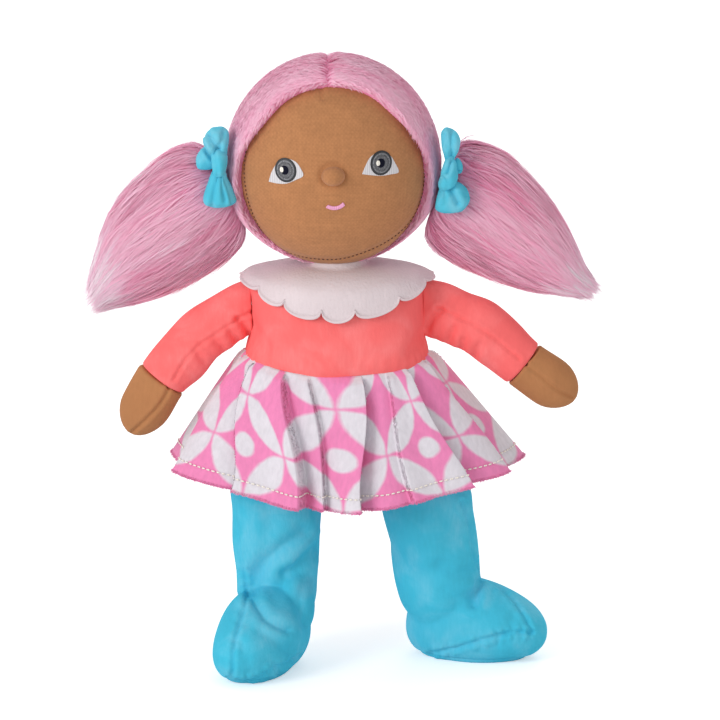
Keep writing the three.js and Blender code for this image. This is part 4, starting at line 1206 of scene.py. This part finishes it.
def make_neck(sizes, colours):
    """The neck roll under the head, and the bound seam that the legs hang from."""
    low, high = (millimetres(np.array(corner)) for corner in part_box("neck_core"))
    rows = [
        [0, 0, low[2], 15.5, 15.5, 0], [0, 0, low[2] + 12, 16.5, 16.5, 0], [0, 0, 251, 16.5, 16.5, 0],
        [0, 0, 261, 18.9, 18.9, 0], [0, 0, 271, 16.5, 16.5, 0], [0, 0, high[2], 2.5, 2.5, 0],
    ]
    roll = swell("neck_cloth", rows, steps=40, around=64)
    give(roll, "skin velour", colours, "neck", ["neck_core"], fill=1.0)
    turn = circle(16)
    x = np.linspace(-HIP_HALF, HIP_HALF, 260)
    thick = 1.35 + 0.12 * np.sin(x * 1.9)
    ends = np.sqrt(np.clip(1 - (np.maximum(np.abs(x) - 50.6, 0) / 1.45) ** 2, 0.02, 1))
    size = (thick * ends)[:, None]
    rings = np.stack([x[:, None] + 0 * turn, size * np.cos(turn), HIP_HEIGHT + size * np.sin(turn)], -1)
    seam = loft("hip_binding", rings, np.array([[-HIP_HALF, 0, HIP_HEIGHT], [HIP_HALF, 0, HIP_HEIGHT]]))
    give(seam, "blue velour", colours, "lap", ["hip_seam"])


ARM_DROOP = {"left": (35, 49, 60), "right": (23, 41, 37)}  # of upper arm, fore arm and hand, in degrees
UPPER_ARM, FORE_ARM, HAND, ARM_HEIGHT = 35.0, 34.0, 38.0, 221
ARM_SEAMS = {
    "left": [(262, 305), (240, 316), (218, 331), (197, 345), (184, 360), (174, 378)],
    "right": [(436, 306), (456, 314), (479, 326), (496, 338), (512, 351), (519, 357)],
}
HAND_SEAMS = {
    "left": [(172, 380), (165, 396), (156, 408), (144, 420), (131, 431)],
    "right": [(518, 356), (534, 369), (549, 382), (562, 391), (573, 396)],
}
SLEEVE_CREASES = {
    "left": [
        ([(249, 332), (244, 322), (238, 317)], 1.8, 1.8), ([(223, 346), (215, 338)], 2.0, 1.4),
        ([(205, 361), (198, 352)], 2.0, 1.3), ([(236, 338), (231, 330)], 1.8, 1.0),
    ],
    "right": [
        ([(427, 328), (433, 316), (441, 309)], 2.0, 1.9), ([(449, 338), (453, 327)], 2.0, 1.5),
        ([(474, 355), (479, 344)], 2.2, 1.2), ([(462, 346), (463, 338)], 1.8, 0.9),
    ],
}


def arm_stations(side):
    """Stations of one arm, from its flat sewn edge to the end of the hand."""
    sign = SIDES[side]
    upper, fore, tip = ARM_DROOP[side]

    def reach(degrees, size):
        return np.array([sign * size * math.cos(math.radians(degrees)), 0, -size * math.sin(math.radians(degrees))])

    seam = np.array([sign * 54.0, 0, ARM_HEIGHT])
    elbow = seam + reach(upper, UPPER_ARM)
    wrist = elbow + reach(fore, FORE_ARM)
    end = wrist + reach(tip, HAND)
    rows = [
        (seam - (sign * 3.2, 0, 0), 17, 6.5, 0),
        (seam + (elbow - seam) * 0.25, 17, 8.5, 0.35 * upper),
        (seam + (elbow - seam) * 0.6, 16.8, 11.3, 0.8 * upper),
        (elbow, 16.8, 12.5, (upper + fore) / 2),
        (elbow + (wrist - elbow) * 0.5, 16.5, 12.5, fore),
        (wrist, 15.5, 12, (fore + tip) / 2),
        (wrist + (end - wrist) * 0.5, 15.2, 12.5, tip),
        (end, 13.1, 10, tip),
    ]
    return [[*middle, wide, deep, 90 - sign * turn] for middle, wide, deep, turn in rows]


def make_arms(sizes, colours):
    """Each arm: a coral sleeve and a brown hand, sewn together at the wrist, with a seam down the front."""
    for side in SIDES:
        stations = arm_stations(side)
        wrist = 5 / 7
        rings, shares = rings_of(stations, 120, 84, round_from=0.012, round_to=0.13, pinches=[(wrist, 0.007, 0.9)])
        middles = smooth_line(stations, shares)[:, :3]
        for name, keep, velvet, lines in (
            ("sleeve", shares <= wrist, "coral velour", ARM_SEAMS),
            ("hand", shares >= wrist, "skin velour", HAND_SEAMS),
        ):
            mine, centres = rings[keep], middles[keep]
            ends = smooth_line(stations, np.array([0.0, 1.0]))[:, :3]
            ends[1 if name == "sleeve" else 0] = centres[-1 if name == "sleeve" else 0]
            piece = loft(f"{name}_cloth_{side}", mine, ends)
            uneven(piece, 17, 0.5, 7 + len(name))
            for behind in (False, True):
                press(piece, lines[side], 1.0, 1.2, behind, pucker=0.2 if name == "sleeve" else 0.12)
            if name == "sleeve":
                press_folds(piece, SLEEVE_CREASES[side])
            nodes = [f"{name}_{side}"] + ([f"arm_stuffing_{side}"] if name == "sleeve" else [])
            give(piece, velvet, colours, f"arm_{side}" if name == "hand" else None, nodes, fill=0.75)
            if name == "sleeve":
                ends = [tuple(metres((SIDES[side] * x, 0, ARM_HEIGHT))) for x in (50.5, 60)]
                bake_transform(piece)


LEG_OUT = {"left": (37, 37, 36), "right": (51, 58, 63)}  # how far out the leg lies at knee, shin and ankle
FOOT_HEEL = {"left": (-29, 16), "right": (42, 17)}
FOOT_TURN = {"left": 203, "right": 102}  # the way that the foot points, in degrees from the back over the right
FOOT_LENGTH, FOOT_WIDE, FOOT_TALL, TOE_TALL, FOOT_SUNK, ANKLE_BACK = 87.0, 25.5, 27.5, 21.0, 4.5, 6.0
LEG_LINES = {
    "left": {
        "seam": [
            (231, 484), (235, 520), (238, 545), (243, 572), (247, 592), (244, 606), (237, 630), (233, 652),
            (233, 672),
        ],
        "sole": [(228, 676), (246, 680), (262, 675), (273, 667), (288, 661), (304, 653)],
        "folds": [
            ([(250, 593), (256, 603), (265, 615), (276, 622), (288, 628)], 2.2, 3.2),
            ([(252, 588), (258, 574), (268, 560), (282, 546), (302, 531)], 3.4, 3.6),
            ([(322, 541), (308, 554), (296, 567), (284, 572)], 2.6, 3.4),
            ([(262, 628), (276, 637), (288, 648)], 3.0, 1.8),
            ([(268, 500), (270, 524), (262, 552), (254, 572)], 4.5, 1.8),
            ([(306, 580), (300, 598), (304, 620)], 3.2, 1.8), ([(240, 640), (247, 654), (250, 668)], 2.4, 1.0),
        ],
    },
    "right": {
        "seam": [(462, 500), (471, 525), (475, 555), (482, 573), (500, 586), (515, 600), (526, 616), (532, 631)],
        "sole": [(430, 654), (457, 648), (487, 638), (514, 631), (534, 632)],
        "folds": [
            ([(482, 577), (476, 590), (474, 604)], 2.2, 2.8), ([(440, 566), (456, 573), (474, 572)], 3.4, 2.6),
            ([(446, 590), (458, 598), (470, 596)], 3.6, 1.8), ([(398, 556), (416, 570), (432, 578)], 5.5, 1.8),
            ([(455, 520), (450, 540), (446, 556)], 5.0, 1.6), ([(498, 642), (508, 630), (516, 616)], 2.8, 1.4),
            ([(520, 634), (526, 622)], 2.0, 1.2),
        ],
    },
}
ANKLES = {
    "left": [
        [-26, -2, 62, 9, 12, 0], [-25, -6, 47, 11.5, 16, 0], [-25, -10, 32, 11.5, 17, 0], [-28, -12, 16, 10, 14, 0],
    ],
    "right": [
        [46, 5, 92, 15, 14, 0], [47.4, 6, 70, 15.6, 16, 0], [50, 7, 51, 15.7, 18, 0], [53.8, 8, 34, 15.8, 19, 0],
        [57, 9, 19, 14.5, 16, 0],
    ],
}  # stations that fill the bend between leg and foot


def foot_form(name, side):
    """An egg along the ground, blunt at the heel and lower at the toe."""
    rows = np.array([
        (0, 0.84 * FOOT_WIDE, FOOT_TALL - 3), (0.3, 0.97 * FOOT_WIDE, FOOT_TALL),
        (0.6, FOOT_WIDE, (FOOT_TALL + TOE_TALL) / 2 + 1), (1, 0.86 * FOOT_WIDE, TOE_TALL),
    ])
    shares = 0.5 * (1 - np.cos(np.linspace(0.1, math.pi - 0.1, 60)))
    at = smooth_line(rows, shares)
    close = (1 - np.abs(2 * shares - 1) ** 2.9) ** (1 / 2.2)
    turn = circle(80)
    c, s = np.cos(turn), np.sin(turn)
    across = (at[:, 1] * close)[:, None] * rounded(c, 2.2)
    up = (at[:, 2] - FOOT_SUNK)[:, None] + (at[:, 2] * close)[:, None] * rounded(s, 2.2)
    along = np.broadcast_to((at[:, 0] * FOOT_LENGTH)[:, None], across.shape)
    heading = math.radians(FOOT_TURN[side])
    heel = np.array([*FOOT_HEEL[side], 0])
    ahead, aside = math.cos(heading), math.sin(heading)

    def placed(x, y, z):
        return np.stack([x * ahead + y * aside, y * ahead - x * aside, z], -1) + heel

    levels = np.array([FOOT_TALL - 3, TOE_TALL]) - FOOT_SUNK
    tips = placed(np.zeros(2), np.array([0.0, FOOT_LENGTH]), levels)
    return loft(name, placed(across, along, up), tips)


def leg_stations(side):
    """Stations of one leg from its flat sewn edge down into the foot."""
    sign, out = SIDES[side], LEG_OUT[side]
    rows = [
        (146.3, 28, 24, 1.2), (138.3, 29, 25.5, 7.5), (128.3, 28 + 0.3 * (out[0] - 28), 26.5, 15.5),
        (110, out[0], 27.5, 23.3), (92, (out[0] + out[1]) / 2, 27.5, 25), (74, out[1], 26.5, 24),
        (48, out[2], 24, 22), (16.8, out[2] - 1, 24, 22),
    ]
    return [[sign * x, ANKLE_BACK * min((146.3 - z) / 98.3, 1), z, wide, deep, 0] for z, x, wide, deep in rows]


def make_legs(sizes, colours):
    """Each leg: one boot shaped bag with a side seam, creases at the ankle and a flat sole panel."""
    for side in SIDES:
        tube = swell("leg_tube", leg_stations(side), steps=70, around=90, round_from=0.015, round_to=0.12)
        ankle = swell("ankle", ANKLES[side], steps=40, around=60, round_from=0.3, round_to=0.3)
        leg = merged(f"leg_cloth_{side}", [tube, foot_form("foot", side), ankle], 1.0, 16)
        uneven(leg, 22, 0.55, 13)
        lines = LEG_LINES[side]
        press_folds(leg, lines["folds"], 1.15, 0.75)
        press(leg, lines["seam"], 1.2, 1.4, pucker=0.22)
        press(leg, lines["seam"], 1.2, 1.4, behind=True, pucker=0.22)
        press(leg, lines["sole"], 1.3, 1.5, pucker=0.6)
        points, out = points_of(leg)
        groove = 0.9 * bell(points[:, 2] - 2.4, 0.9)
        points -= out * groove[:, None]
        points[:, 2] = np.maximum(points[:, 2], 0.02)
        set_points(leg, points)
        nodes = [f"leg_{side}", f"sole_{side}", f"leg_stuffing_{side}"]
        give(leg, "blue velour", colours, f"leg_{side}", nodes, fill=0.8)


# ---------------------------------------------------------------- collar and skirt


COLLAR_FRONT = [(16.8, 250), (18.8, 246), (25.2, 244.1), (32.4, 240.5), (37.6, 234), (40, 220)]
COLLAR_SIDE = [(16.8, 250), (18.8, 246), (29, 245.1), (40.6, 243.9), (50.5, 241.9), (58, 238.5)]  # out and up
SCALLOPS, SCALLOP_TURN, SCALLOP_CUT = 14, 3.0, 0.13  # their number, turn in degrees, and depth as a share
COLLAR_THICK = 2.2


def collar_point(turn, share, height):
    """Places on the collar: turn goes round from the front, share runs outwards, and height is above its cloth."""
    ahead, across = np.cos(turn), np.sin(turn)
    share = np.interp(share, [0, 0.07, 0.27, 0.5, 0.72, 1], np.linspace(0, 1, 6))
    front, aside = smooth_line(COLLAR_FRONT, share), smooth_line(COLLAR_SIDE, share)
    z = front[..., 1] * ahead**2 + aside[..., 1] * across**2
    return np.stack([aside[..., 0] * across, -front[..., 0] * ahead, z + height], -1)


def collar_edge(turn):
    """How far out the scalloped edge lies, as a share."""
    part = (turn - math.radians(SCALLOP_TURN)) * SCALLOPS / (2 * math.pi) + 0.5
    part = part + 0.13 * np.sin(3 * turn + 0.8) + 0.06 * np.sin(8 * turn)
    lobe = np.sqrt(np.clip(1 - (2 * (part % 1) - 1) ** 2, 0, 1)) ** 0.8
    return 1 - SCALLOP_CUT * (1 - lobe) * (1 + 0.5 * np.sin(turn) ** 2)


def make_collar(sizes, colours):
    """The collar: scalloped white plush that drapes from the neck over the shoulders."""
    around, rows = 420, 34
    turn = circle(around)
    edge = collar_edge(turn)
    share = np.linspace(0, 1, rows)[:, None] * edge
    turns = turn + 0 * share
    top, base = collar_point(turns, share, COLLAR_THICK), collar_point(turns, share, 0.25)
    wave = 0.5 * lumps(top, 12, 4) * np.clip(share, 0, 1) ** 2
    full = 0.35 * bell(share - 0.86 * edge, 0.11)
    top[..., 2] += wave + full
    middle = 0.5 * (top[-1] + base[-1])
    away = unit(middle - [0, 0, middle[:, 2].mean()])
    bend = np.linspace(0, math.pi, 9)[1:-1, None, None]
    rim = middle + 0.5 * (top[-1] - base[-1]) * np.cos(bend) + 1.3 * away * np.sin(bend)
    sheet = np.concatenate([top, rim, base[::-1]])
    quads, _, _ = grid_faces(len(sheet), around, looped=True)
    cloth = new_piece("collar_cloth", sheet.reshape(-1, 3), quads.tolist())
    face_outwards(cloth)
    give(cloth, "white plush", colours, "torso", ["collar"])


WAIST_HEIGHT, WAIST_WIDE, WAIST_DEEP, WAIST_DIP, WAIST_FULL = 190.0, 55.0, 36.5, 3.5, 2.3
SKIRT_SWAY = 4.0
HEM_TURNS = [-180, -130, -102, -72, -45, -14, -5.5, 6.5, 49, 70, 95, 122, 150, 180]
WAIST_TURNS = [-180, -130, -104, -80, -60, -27.5, -12, 11.5, 45, 66, 93, 121, 150, 180]  # above those at the hem
PLEATS = [
    (-160, 1, 1.0), (-131, 1, 0.9), (-102, -1, 0.9), (-73, -1, 1.0), (-46, -1, 0.35), (-16, 1, 1.1), (-6.5, 1, 0.55),
    (7.5, 1, 1.05), (27, -1, 0.3), (49, 1, 1.1), (72, 1, 0.7), (97, 1, 0.9), (124, -1, 0.9), (151, 1, 1.0),
]  # each pleat's edge at the hem in degrees, which side laps over the other, and its depth
PLEAT_RISE, PLEAT_TUCK = 5.5, 12.5  # how far a pleat's edge stands out, and how deep the fold beside it lies
FLARE_SIDE, FLARE_FRONT = 33, 21  # degrees from upright
SKIRT_THICK, HEM_AT = 1.3, 0.9  # the cloth with its pile, and the topstitching's share of the way down


def pleat_drift(at, share):
    """How far a pleat's edge has wandered on the way down, in degrees."""
    return 1.4 * np.sin(0.06 * at + 5 * share)


def skirt_point(turn, share, height):
    """Places on the skirt: turn in degrees at the hem from the front, share runs down, height is off the cloth."""
    share = np.broadcast_to(share, turn.shape)
    lap, step = np.zeros(turn.shape), np.zeros(turn.shape)
    grown = 0.34 + 0.66 * np.sqrt(share)
    for at, over, deep in PLEATS:
        off = ((turn - at - pleat_drift(at, share) + 540) % 360 - 180) * over
        edge = smooth_step((off + 1.1) / 2.2)  # 0 on the panel that laps over, 1 in the fold beside it
        high, low = bell(np.minimum(off, 0), 9), np.exp(-((np.maximum(off, 0) / 8) ** 1.5))
        step += deep * (1 - edge) * high * PLEAT_RISE * grown
        step -= deep * edge * low * PLEAT_TUCK * (0.2 + 0.8 * share**0.75)
        before, after = np.exp(np.minimum(off, 0) / 3), np.exp(-np.maximum(off, 0) / 3)
        lap += over * deep * ((1 - edge) * before * 1.5 - edge * after)
    bent = turn + lap * grown
    waist = np.interp((bent + 180) % 360 - 180, HEM_TURNS, WAIST_TURNS)
    mixed = np.radians(waist + (bent - waist) * smooth_step(share))
    across, ahead = np.sin(mixed), np.cos(mixed)
    full_x, full_y = rounded(across, WAIST_FULL), -rounded(ahead, WAIST_FULL)
    flare = np.radians(FLARE_SIDE * across**2 + FLARE_FRONT * ahead**2)
    ripple = 1.8 * np.sin(np.radians(turn * 5.0 + 40)) + 1.1 * np.sin(np.radians(turn * 9.0 - 70))
    gather = 0.6 * np.sin(np.radians(turn * 37.0)) * np.exp(-share / 0.1)
    sewn = smooth_step(share / 0.06)  # the top edge is caught in the waist seam
    out = SKIRT_LENGTH * share * np.sin(flare) + (step + gather) * sewn + ripple * share**1.6 + height
    dip = WAIST_DIP * np.cos(2 * mixed)
    fall = SKIRT_LENGTH * share * np.cos(flare) + share * (-0.12 * step + 1.2 * np.sin(np.radians(turn * 4 + 100)))
    slack = 0.9 - 1.7 * (1 - sewn) + WAIST_DIP * share
    x = (WAIST_WIDE + slack) * (full_x * (1 - share) + across * share) + out * across + SKIRT_SWAY * share
    y = (WAIST_DEEP + slack) * (full_y * (1 - share) - ahead * share) - out * ahead
    return np.stack([x, y, WAIST_HEIGHT - dip - fall], -1)


def skirt_frame(turn, share, height=0.0):
    """Places on the skirt's outside, and the ways that it faces and runs down there."""
    place = skirt_point(turn, share, height)
    down = unit(skirt_point(turn, share + 0.01, height) - place)
    aside = unit(skirt_point(turn + 0.15, share, height) - skirt_point(turn - 0.15, share, height))
    return place, unit(np.cross(down, aside)), down


def make_skirt(sizes, colours):
    """The skirt: printed plush in knife pleats, gathered into the waist seam, with a topstitched hem."""
    around, rows = 1320, 60
    turn = np.linspace(-180, 180, around, endpoint=False)
    share = np.linspace(0, 1, rows)
    grid = np.broadcast_to(turn, (rows, around))
    place, out, down = skirt_frame(grid, share[:, None] + 0 * grid)
    inside = place - out * SKIRT_THICK
    hem_line = 0.5 * bell((share - HEM_AT) * SKIRT_LENGTH, 0.9)[:, None, None]
    place = place - out * hem_line
    rim = 0.5 * (place[-1] + inside[-1]) + down[-1] * 0.6
    sheet = np.concatenate([place, rim[None], inside[::-1]])
    quads, row, column = grid_faces(len(sheet), around, looped=True)
    level = np.concatenate([share, [1.0], share[::-1]])
    corners = np.stack([column / around, 1 - level[row % len(level)]], -1).reshape(-1, 2)
    cloth = new_piece("skirt_cloth", sheet.reshape(-1, 3), quads.tolist(), corners)
    face_outwards(cloth)
    repeat = sizes.print_repeat / MM
    give(cloth, "printed plush", colours, None, ["skirt"], repeat=repeat)
    rng = np.random.default_rng(23)
    many = sizes.skirt_strands
    at_hem = rng.uniform(size=many) < 0.45
    at, over, _ = np.array(PLEATS)[rng.integers(len(PLEATS), size=many)].T
    level = np.where(at_hem, rng.uniform(0.985, 1.0, many), rng.uniform(0.02, 0.99, many))
    edge = at + pleat_drift(at, level) - over * rng.uniform(-0.5, 0.5, many)
    where = np.where(at_hem, rng.uniform(-180, 180, many), edge)
    root, up, comb = skirt_frame(where, level)
    beside = np.cross(up, comb) * np.where(at_hem, 0.0, -over)[:, None]
    comb = unit(comb + 0.9 * beside + 0.3 * rng.normal(size=comb.shape))
    size = sizes.short_pile / MM * rng.uniform(0.5, 0.85, (many, 1, 1))
    f = np.array([0, 0.55, 1.0])[None, :, None]
    paths = root[:, None] + comb[:, None] * size * f + up[:, None] * np.array([0.0, 0.3, 0.45])[None, :, None]
    corners = np.stack([(where + 180) / 360 % 1, 1 - level], 1)
    flat = unit(up + 0.1 * rng.normal(size=up.shape))
    fur = ribbons("skirt_pile", paths, flat, rng.uniform(0.4, 0.7, many), None, corners)
    give(fur, "printed plush", colours, repeat=repeat)
    fine = np.linspace(-180, 180, 6000)
    line = skirt_frame(fine, HEM_AT + 0 * fine)[0]
    places, run = even_places(line, sizes.hem_stitch / MM)
    nearest = fine[np.argmin(((places[:, None, :] - line[None, ::4]) ** 2).sum(-1), axis=1) * 4]
    _, out, _ = skirt_frame(nearest, HEM_AT + 0 * nearest)
    hem = stitches("hem_stitching", places + out * 0.25, run, out, 2.4, 1.0)
    give(hem, "hem thread", colours)
    for piece in (cloth, fur, hem):
        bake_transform(piece)


# ---------------------------------------------------------------- stage


LAMPS = [
    ("key", (-1.8, -1.6, 1.1), 29.0, 1.1), ("fill", (1.3, -1.8, 0.4), 5.0, 1.4), ("back", (0.3, 1.4, 1.3), 5.0, 1.0),
]  # each lamp's name, place, power and size


def make_stage(sizes, colours):
    """A plain pale floor, soft light from the front and above, and the photograph's camera."""
    scene = bpy.context.scene
    scene.view_settings.view_transform = "Standard"
    bpy.ops.object.select_all(action="DESELECT")
    bpy.ops.mesh.primitive_plane_add(size=8.0, location=(0, 0, 0))
    floor = bpy.context.active_object
    floor.name = "floor"
    paper, node = blank("white paper")
    matt = node("BsdfPrincipled", Base_Color=(0.9, 0.9, 0.9, 1), Roughness=0.9)
    glow = node("Emission", Color=(1, 1, 1, 1), Strength=0.42)
    dark = node("Emission", Color=(0, 0, 0, 1), Strength=0.0)
    rays = node("LightPath").node.outputs
    seen = node("Math", [rays["Is Camera Ray"], rays["Is Glossy Ray"]], operation="MAXIMUM")
    lit = node("MixShader", [seen, dark, glow])
    node("OutputMaterial", Surface=node("AddShader", [matt, lit]))
    floor.data.materials.append(paper)
    scene.world = bpy.data.worlds.new("studio")
    node = emptied(scene.world)
    soft = node("Background", Color=(1, 1, 1, 1), Strength=0.66)
    white = node("Background", Color=(1, 1, 1, 1), Strength=1.0)
    seen = node("LightPath", output="Is Camera Ray")
    node("OutputWorld", Surface=node("MixShader", [seen, soft, white]))
    middle = Vector((0, 0, 0.19))
    for name, place, power, size in LAMPS:
        lamp = bpy.data.lights.new(name, "AREA")
        lamp.energy, lamp.size, lamp.shape = power, size, "SQUARE"
        holder = bpy.data.objects.new(name, lamp)
        scene.collection.objects.link(holder)
        holder.location = place
        holder.rotation_euler = (middle - Vector(place)).to_track_quat("-Z", "Y").to_euler()
    across, up = from_photo(PHOTO_SIZE / 2, 358)
    aim = Vector(metres((across, 0, up / LEVEL)))
    lens = bpy.data.cameras.new("camera")
    lens.lens, lens.sensor_width = 500.0, 36.0
    camera = bpy.data.objects.new("camera", lens)
    scene.collection.objects.link(camera)
    camera.location = aim - Vector(LOOK) * (PHOTO_SIZE * PIXEL * MM * lens.lens / lens.sensor_width)
    camera.rotation_euler = Vector(LOOK).to_track_quat("-Z", "Y").to_euler()
    scene.camera = camera


# ---------------------------------------------------------------- add-on


class DollOperator:
    """What the operators of the doll's pieces and of the stage share."""

    bl_options = {"REGISTER", "UNDO"}

    def execute(self, context):
        self.make(context.scene.doll_sizes, context.scene.doll_colours)
        return {"FINISHED"}


def operator(name, label, maker):
    """An operator that makes one piece or group of pieces."""
    members = {
        "__doc__": maker.__doc__,
        "bl_idname": f"doll.{name}",
        "bl_label": label,
        "make": staticmethod(maker),
    }
    return type(f"DOLL_OT_{name}", (DollOperator, bpy.types.Operator), members)


MAKERS = [
    ("stage", "Stage", make_stage),
    ("torso", "Body", make_torso),
    ("neck", "Neck and hip seam", make_neck),
    ("legs", "Legs", make_legs),
    ("arms", "Arms", make_arms),
    ("face", "Face", make_face),
    ("eyes", "Eyes", make_eyes),
    ("nose", "Nose", make_nose),
    ("mouth", "Mouth", make_mouth),
    ("hair_caps", "Hair on the head", make_hair_caps),
    ("bunches", "Bunches", make_bunches),
    ("bows", "Bows", make_bows),
    ("collar", "Collar", make_collar),
    ("skirt", "Skirt", make_skirt),
]
OPERATORS = [operator(*row) for row in MAKERS]


class DOLL_PT_panel(bpy.types.Panel):
    """Lists the doll's pieces, sizes and colours"""

    bl_idname = "DOLL_PT_panel"
    bl_label = "Rag Doll"
    bl_space_type = "VIEW_3D"
    bl_region_type = "UI"
    bl_category = "Rag Doll"

    def draw(self, context):
        for each in OPERATORS:
            self.layout.operator(each.bl_idname)
        for group in (context.scene.doll_sizes, context.scene.doll_colours):
            for name in group.bl_rna.properties.keys():
                if name not in {"rna_type", "name"}:
                    self.layout.prop(group, name)


CLASSES = [DollSizes, DollColours, *OPERATORS, DOLL_PT_panel]


def register():
    for each in CLASSES:
        bpy.utils.register_class(each)
    bpy.types.Scene.doll_sizes = bpy.props.PointerProperty(type=DollSizes)
    bpy.types.Scene.doll_colours = bpy.props.PointerProperty(type=DollColours)


def unregister():
    del bpy.types.Scene.doll_colours
    del bpy.types.Scene.doll_sizes
    for each in reversed(CLASSES):
        bpy.utils.unregister_class(each)


def main():
    """Makes the doll's pieces and the stage, and writes the sizes of the packed and the dressed doll."""
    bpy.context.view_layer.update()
    register()
    for name, _, _ in MAKERS:
        getattr(bpy.ops.doll, name)()


if __name__ == "__main__":
    main()
